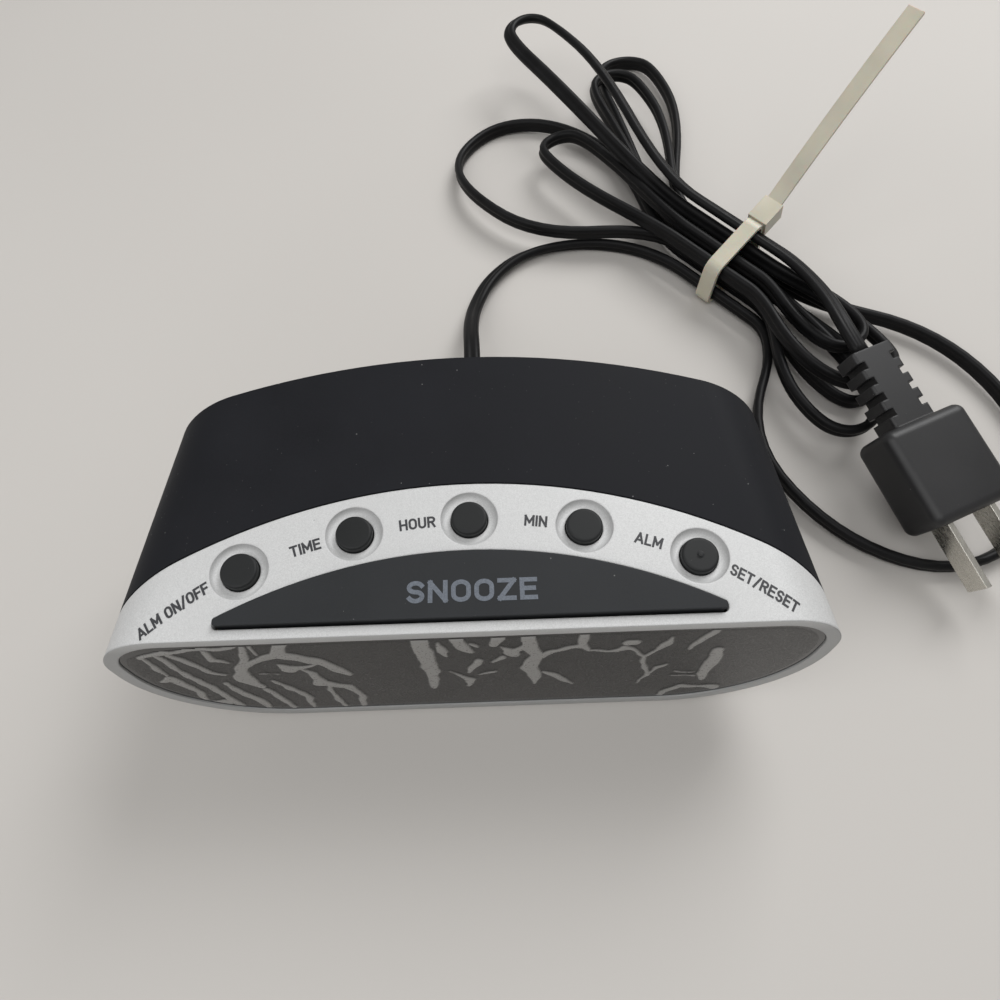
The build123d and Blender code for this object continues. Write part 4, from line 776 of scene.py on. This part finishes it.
def lens_gloss():
    """Smoked polished lens with faint wiping marks."""
    s = Shader("smoked_lens", 0.07, specular=0.5)
    haze = s.noise(60, 4, place=s.stretched((0.4, 1, 2)))
    s.colour(s.mix(s.ramp(haze, 0.35, 0.7, 0, 1), (0.006, 0.006, 0.007), (0.011, 0.011, 0.012)))
    s.roughness(s.ramp(haze, 0.35, 0.75, 0.05, 0.14))
    return s


def film_sheet():
    """Cling film: hazy gray where it lies on the lens, paler where air lies under it."""
    s = Shader("cling_film", 0.3, specular=0.5, alpha=0.9)
    air = s.node("ShaderNodeAttribute", attribute_name="air")
    haze = s.noise(55, 4)
    fine = s.noise(2400, 2)
    tone = s.mottle(haze, (0.0142, 0.0138, 0.0136), (0.0228, 0.0221, 0.0216))
    tone = s.mix(s.ramp(air.outputs["Fac"], 0.05, 0.9, 0, 1), tone, (0.3, 0.295, 0.286))
    s.colour(tone)
    s.roughness(s.spread(fine, 0.24, 0.4))
    s.normal(s.bump(fine, 0.15, 0.02 * MM))
    return s


def ink(name, colour):
    """Printed ink with slightly uneven cover."""
    s = Shader(name, 0.5, specular=0.4)
    fine = s.noise(3500, 3)
    s.colour(s.mix(s.ramp(fine, 0.3, 0.75, 0, 1), shade(colour, 0.85), shade(colour, 1.3)))
    s.roughness(s.spread(fine, 0.42, 0.58))
    return s


def nylon():
    """Natural nylon strap: pale, smooth outside and slightly see-through."""
    colour = (0.56, 0.53, 0.43)
    s = Shader("natural_nylon", 0.38, specular=0.4, subsurface=0.35)
    broad = s.noise(70, 3)
    fine = s.noise(1500, 2)
    s.colour(s.mottle(broad, shade(colour, 0.9), shade(colour, 1.08)))
    s.roughness(s.spread(broad, 0.32, 0.46))
    s.normal(s.bump(fine, 0.2, 0.03 * MM, s.soft_edges(0.3 * MM)))
    return s


def sheath():
    """Cord sheath: uneven satin black with a little dust."""
    colour = (0.007, 0.007, 0.0074)
    s = Shader("cord_sheath", 0.48, specular=0.13)
    broad = s.noise(120, 4)
    fine = s.noise(2600, 2)
    tone = s.mottle(broad, shade(colour, 0.8), shade(colour, 1.5))
    tone = s.mix(s.math("MULTIPLY", s.specks(500, 0.05, 0.03), 0.4), tone, PALE_SPECK)
    s.colour(tone)
    s.roughness(s.spread(broad, 0.36, 0.5))
    s.normal(s.bump(fine, 0.25, 0.03 * MM))
    return s


MATERIALS = {
    "shell": moulded("shell_black", (0.0115, 0.012, 0.0145), 0.58, dust=0.12, specular=0.1),
    "silver_paint": silver_paint(),
    "lens": lens_gloss(),
    "film": film_sheet(),
    "key_cap": moulded(
        "key_black", (0.015, 0.016, 0.0165), 0.45, grain=6500, edge=0.4, wear_and_highlight=4.5, dust=0.04, specular=0.22,
    ),
    "snooze_cap": moulded(
        "snooze_charcoal", (0.02, 0.0215, 0.0235), 0.55, edge=0.4, wear_and_highlight=2.8, dust=0.05, specular=0.22,
    ),
    "cord_sheath": sheath(),
    "tie_nylon": nylon(),
    "blade": metal("plated_blade", (0.72, 0.7, 0.64), 0.26, (1, 0.2, 1)),
    "foot_rubber": moulded("foot_rubber", (0.02, 0.02, 0.02), 0.72, grain=3000),
}
# The other pieces, most of them inside, take their colour from the record
METAL_CLASSES = ("brushed_steel", "brass", "aluminium", "cast_iron")
for entry in frame["record"]["materials"]:
    if entry["slot"] in MATERIALS:
        continue
    colour = tuple(entry["base_color"][:3])
    if entry["class"] in METAL_CLASSES:
        MATERIALS[entry["slot"]] = metal(entry["slot"], colour, 0.34, (0.3, 1, 1))
    else:
        MATERIALS[entry["slot"]] = moulded(entry["slot"], colour, 0.48, grain=2600)


def dress(piece, shader):
    """Give a piece one material."""
    piece.data.materials.clear()
    piece.data.materials.append(shader.material)


for entry in frame["record"]["subparts"]:
    dress(NODES[entry["node"]], MATERIALS[entry["material_slot"]])
dress(cord, MATERIALS["cord_sheath"])
dress(film, MATERIALS["film"])
panel_ink = ink("panel_ink", (0.036, 0.037, 0.041))
for label in words:
    dress(label, panel_ink)
dress(snooze_word, ink("snooze_ink", (0.115, 0.13, 0.155)))
plug_shader = moulded("plug_black", (0.015, 0.015, 0.016), 0.45, grain=3500, edge=0.6, wear_and_highlight=2.0, dust=0.03)
for name in ("plug_body", "strain_relief"):
    dress(NODES[name], plug_shader)

# Floor, soft lights and a plain world
FLOOR_HALF = 2500
FLOOR_TONES = ((0.53, 0.51, 0.485), (0.56, 0.54, 0.515))
WORLD_COLOUR = (1.0, 0.985, 0.965, 1)
WORLD_STRENGTH = 0.33

floor_corners = [(x * FLOOR_HALF, y * FLOOR_HALF, 0) for x, y in ((-1, -1), (1, -1), (1, 1), (-1, 1))]
floor = mesh_from("floor", floor_corners, [(0, 1, 2, 3)])
floor_shader = Shader("floor_pale", 0.75, specular=0.2)
floor_shader.colour(floor_shader.mottle(floor_shader.noise(4, 2), *FLOOR_TONES))
dress(floor, floor_shader)


def soft_light(name, place, target, size, power):
    """A large rectangular lamp that looks at a place."""
    data = bpy.data.lights.new(name, "AREA")
    data.shape = "RECTANGLE"
    data.size, data.size_y = (side * MM for side in size)
    data.energy = power
    lamp = bpy.data.objects.new(name, data)
    SCENE.collection.objects.link(lamp)
    lamp.location = Vector(place) * MM
    aim = (Vector(target) - Vector(place)).normalized()
    lamp.rotation_euler = aim.to_track_quat("-Z", "Y").to_euler()


soft_light("key_light", (410, 610, 700), (30, 20, 0), (560, 560), 6.6)
soft_light("fill_light", (-520, -220, 620), (0, 0, 20), (600, 600), 1.6)
soft_light("top_light", (-40, -250, 760), (0, -10, 30), (640, 420), 1.7)

world = bpy.data.worlds.new("world")
SCENE.world = world
world.use_nodes = True
background = world.node_tree.nodes["Background"]
background.inputs["Color"].default_value = WORLD_COLOUR
background.inputs["Strength"].default_value = WORLD_STRENGTH

SCENE.view_settings.view_transform = "Standard"
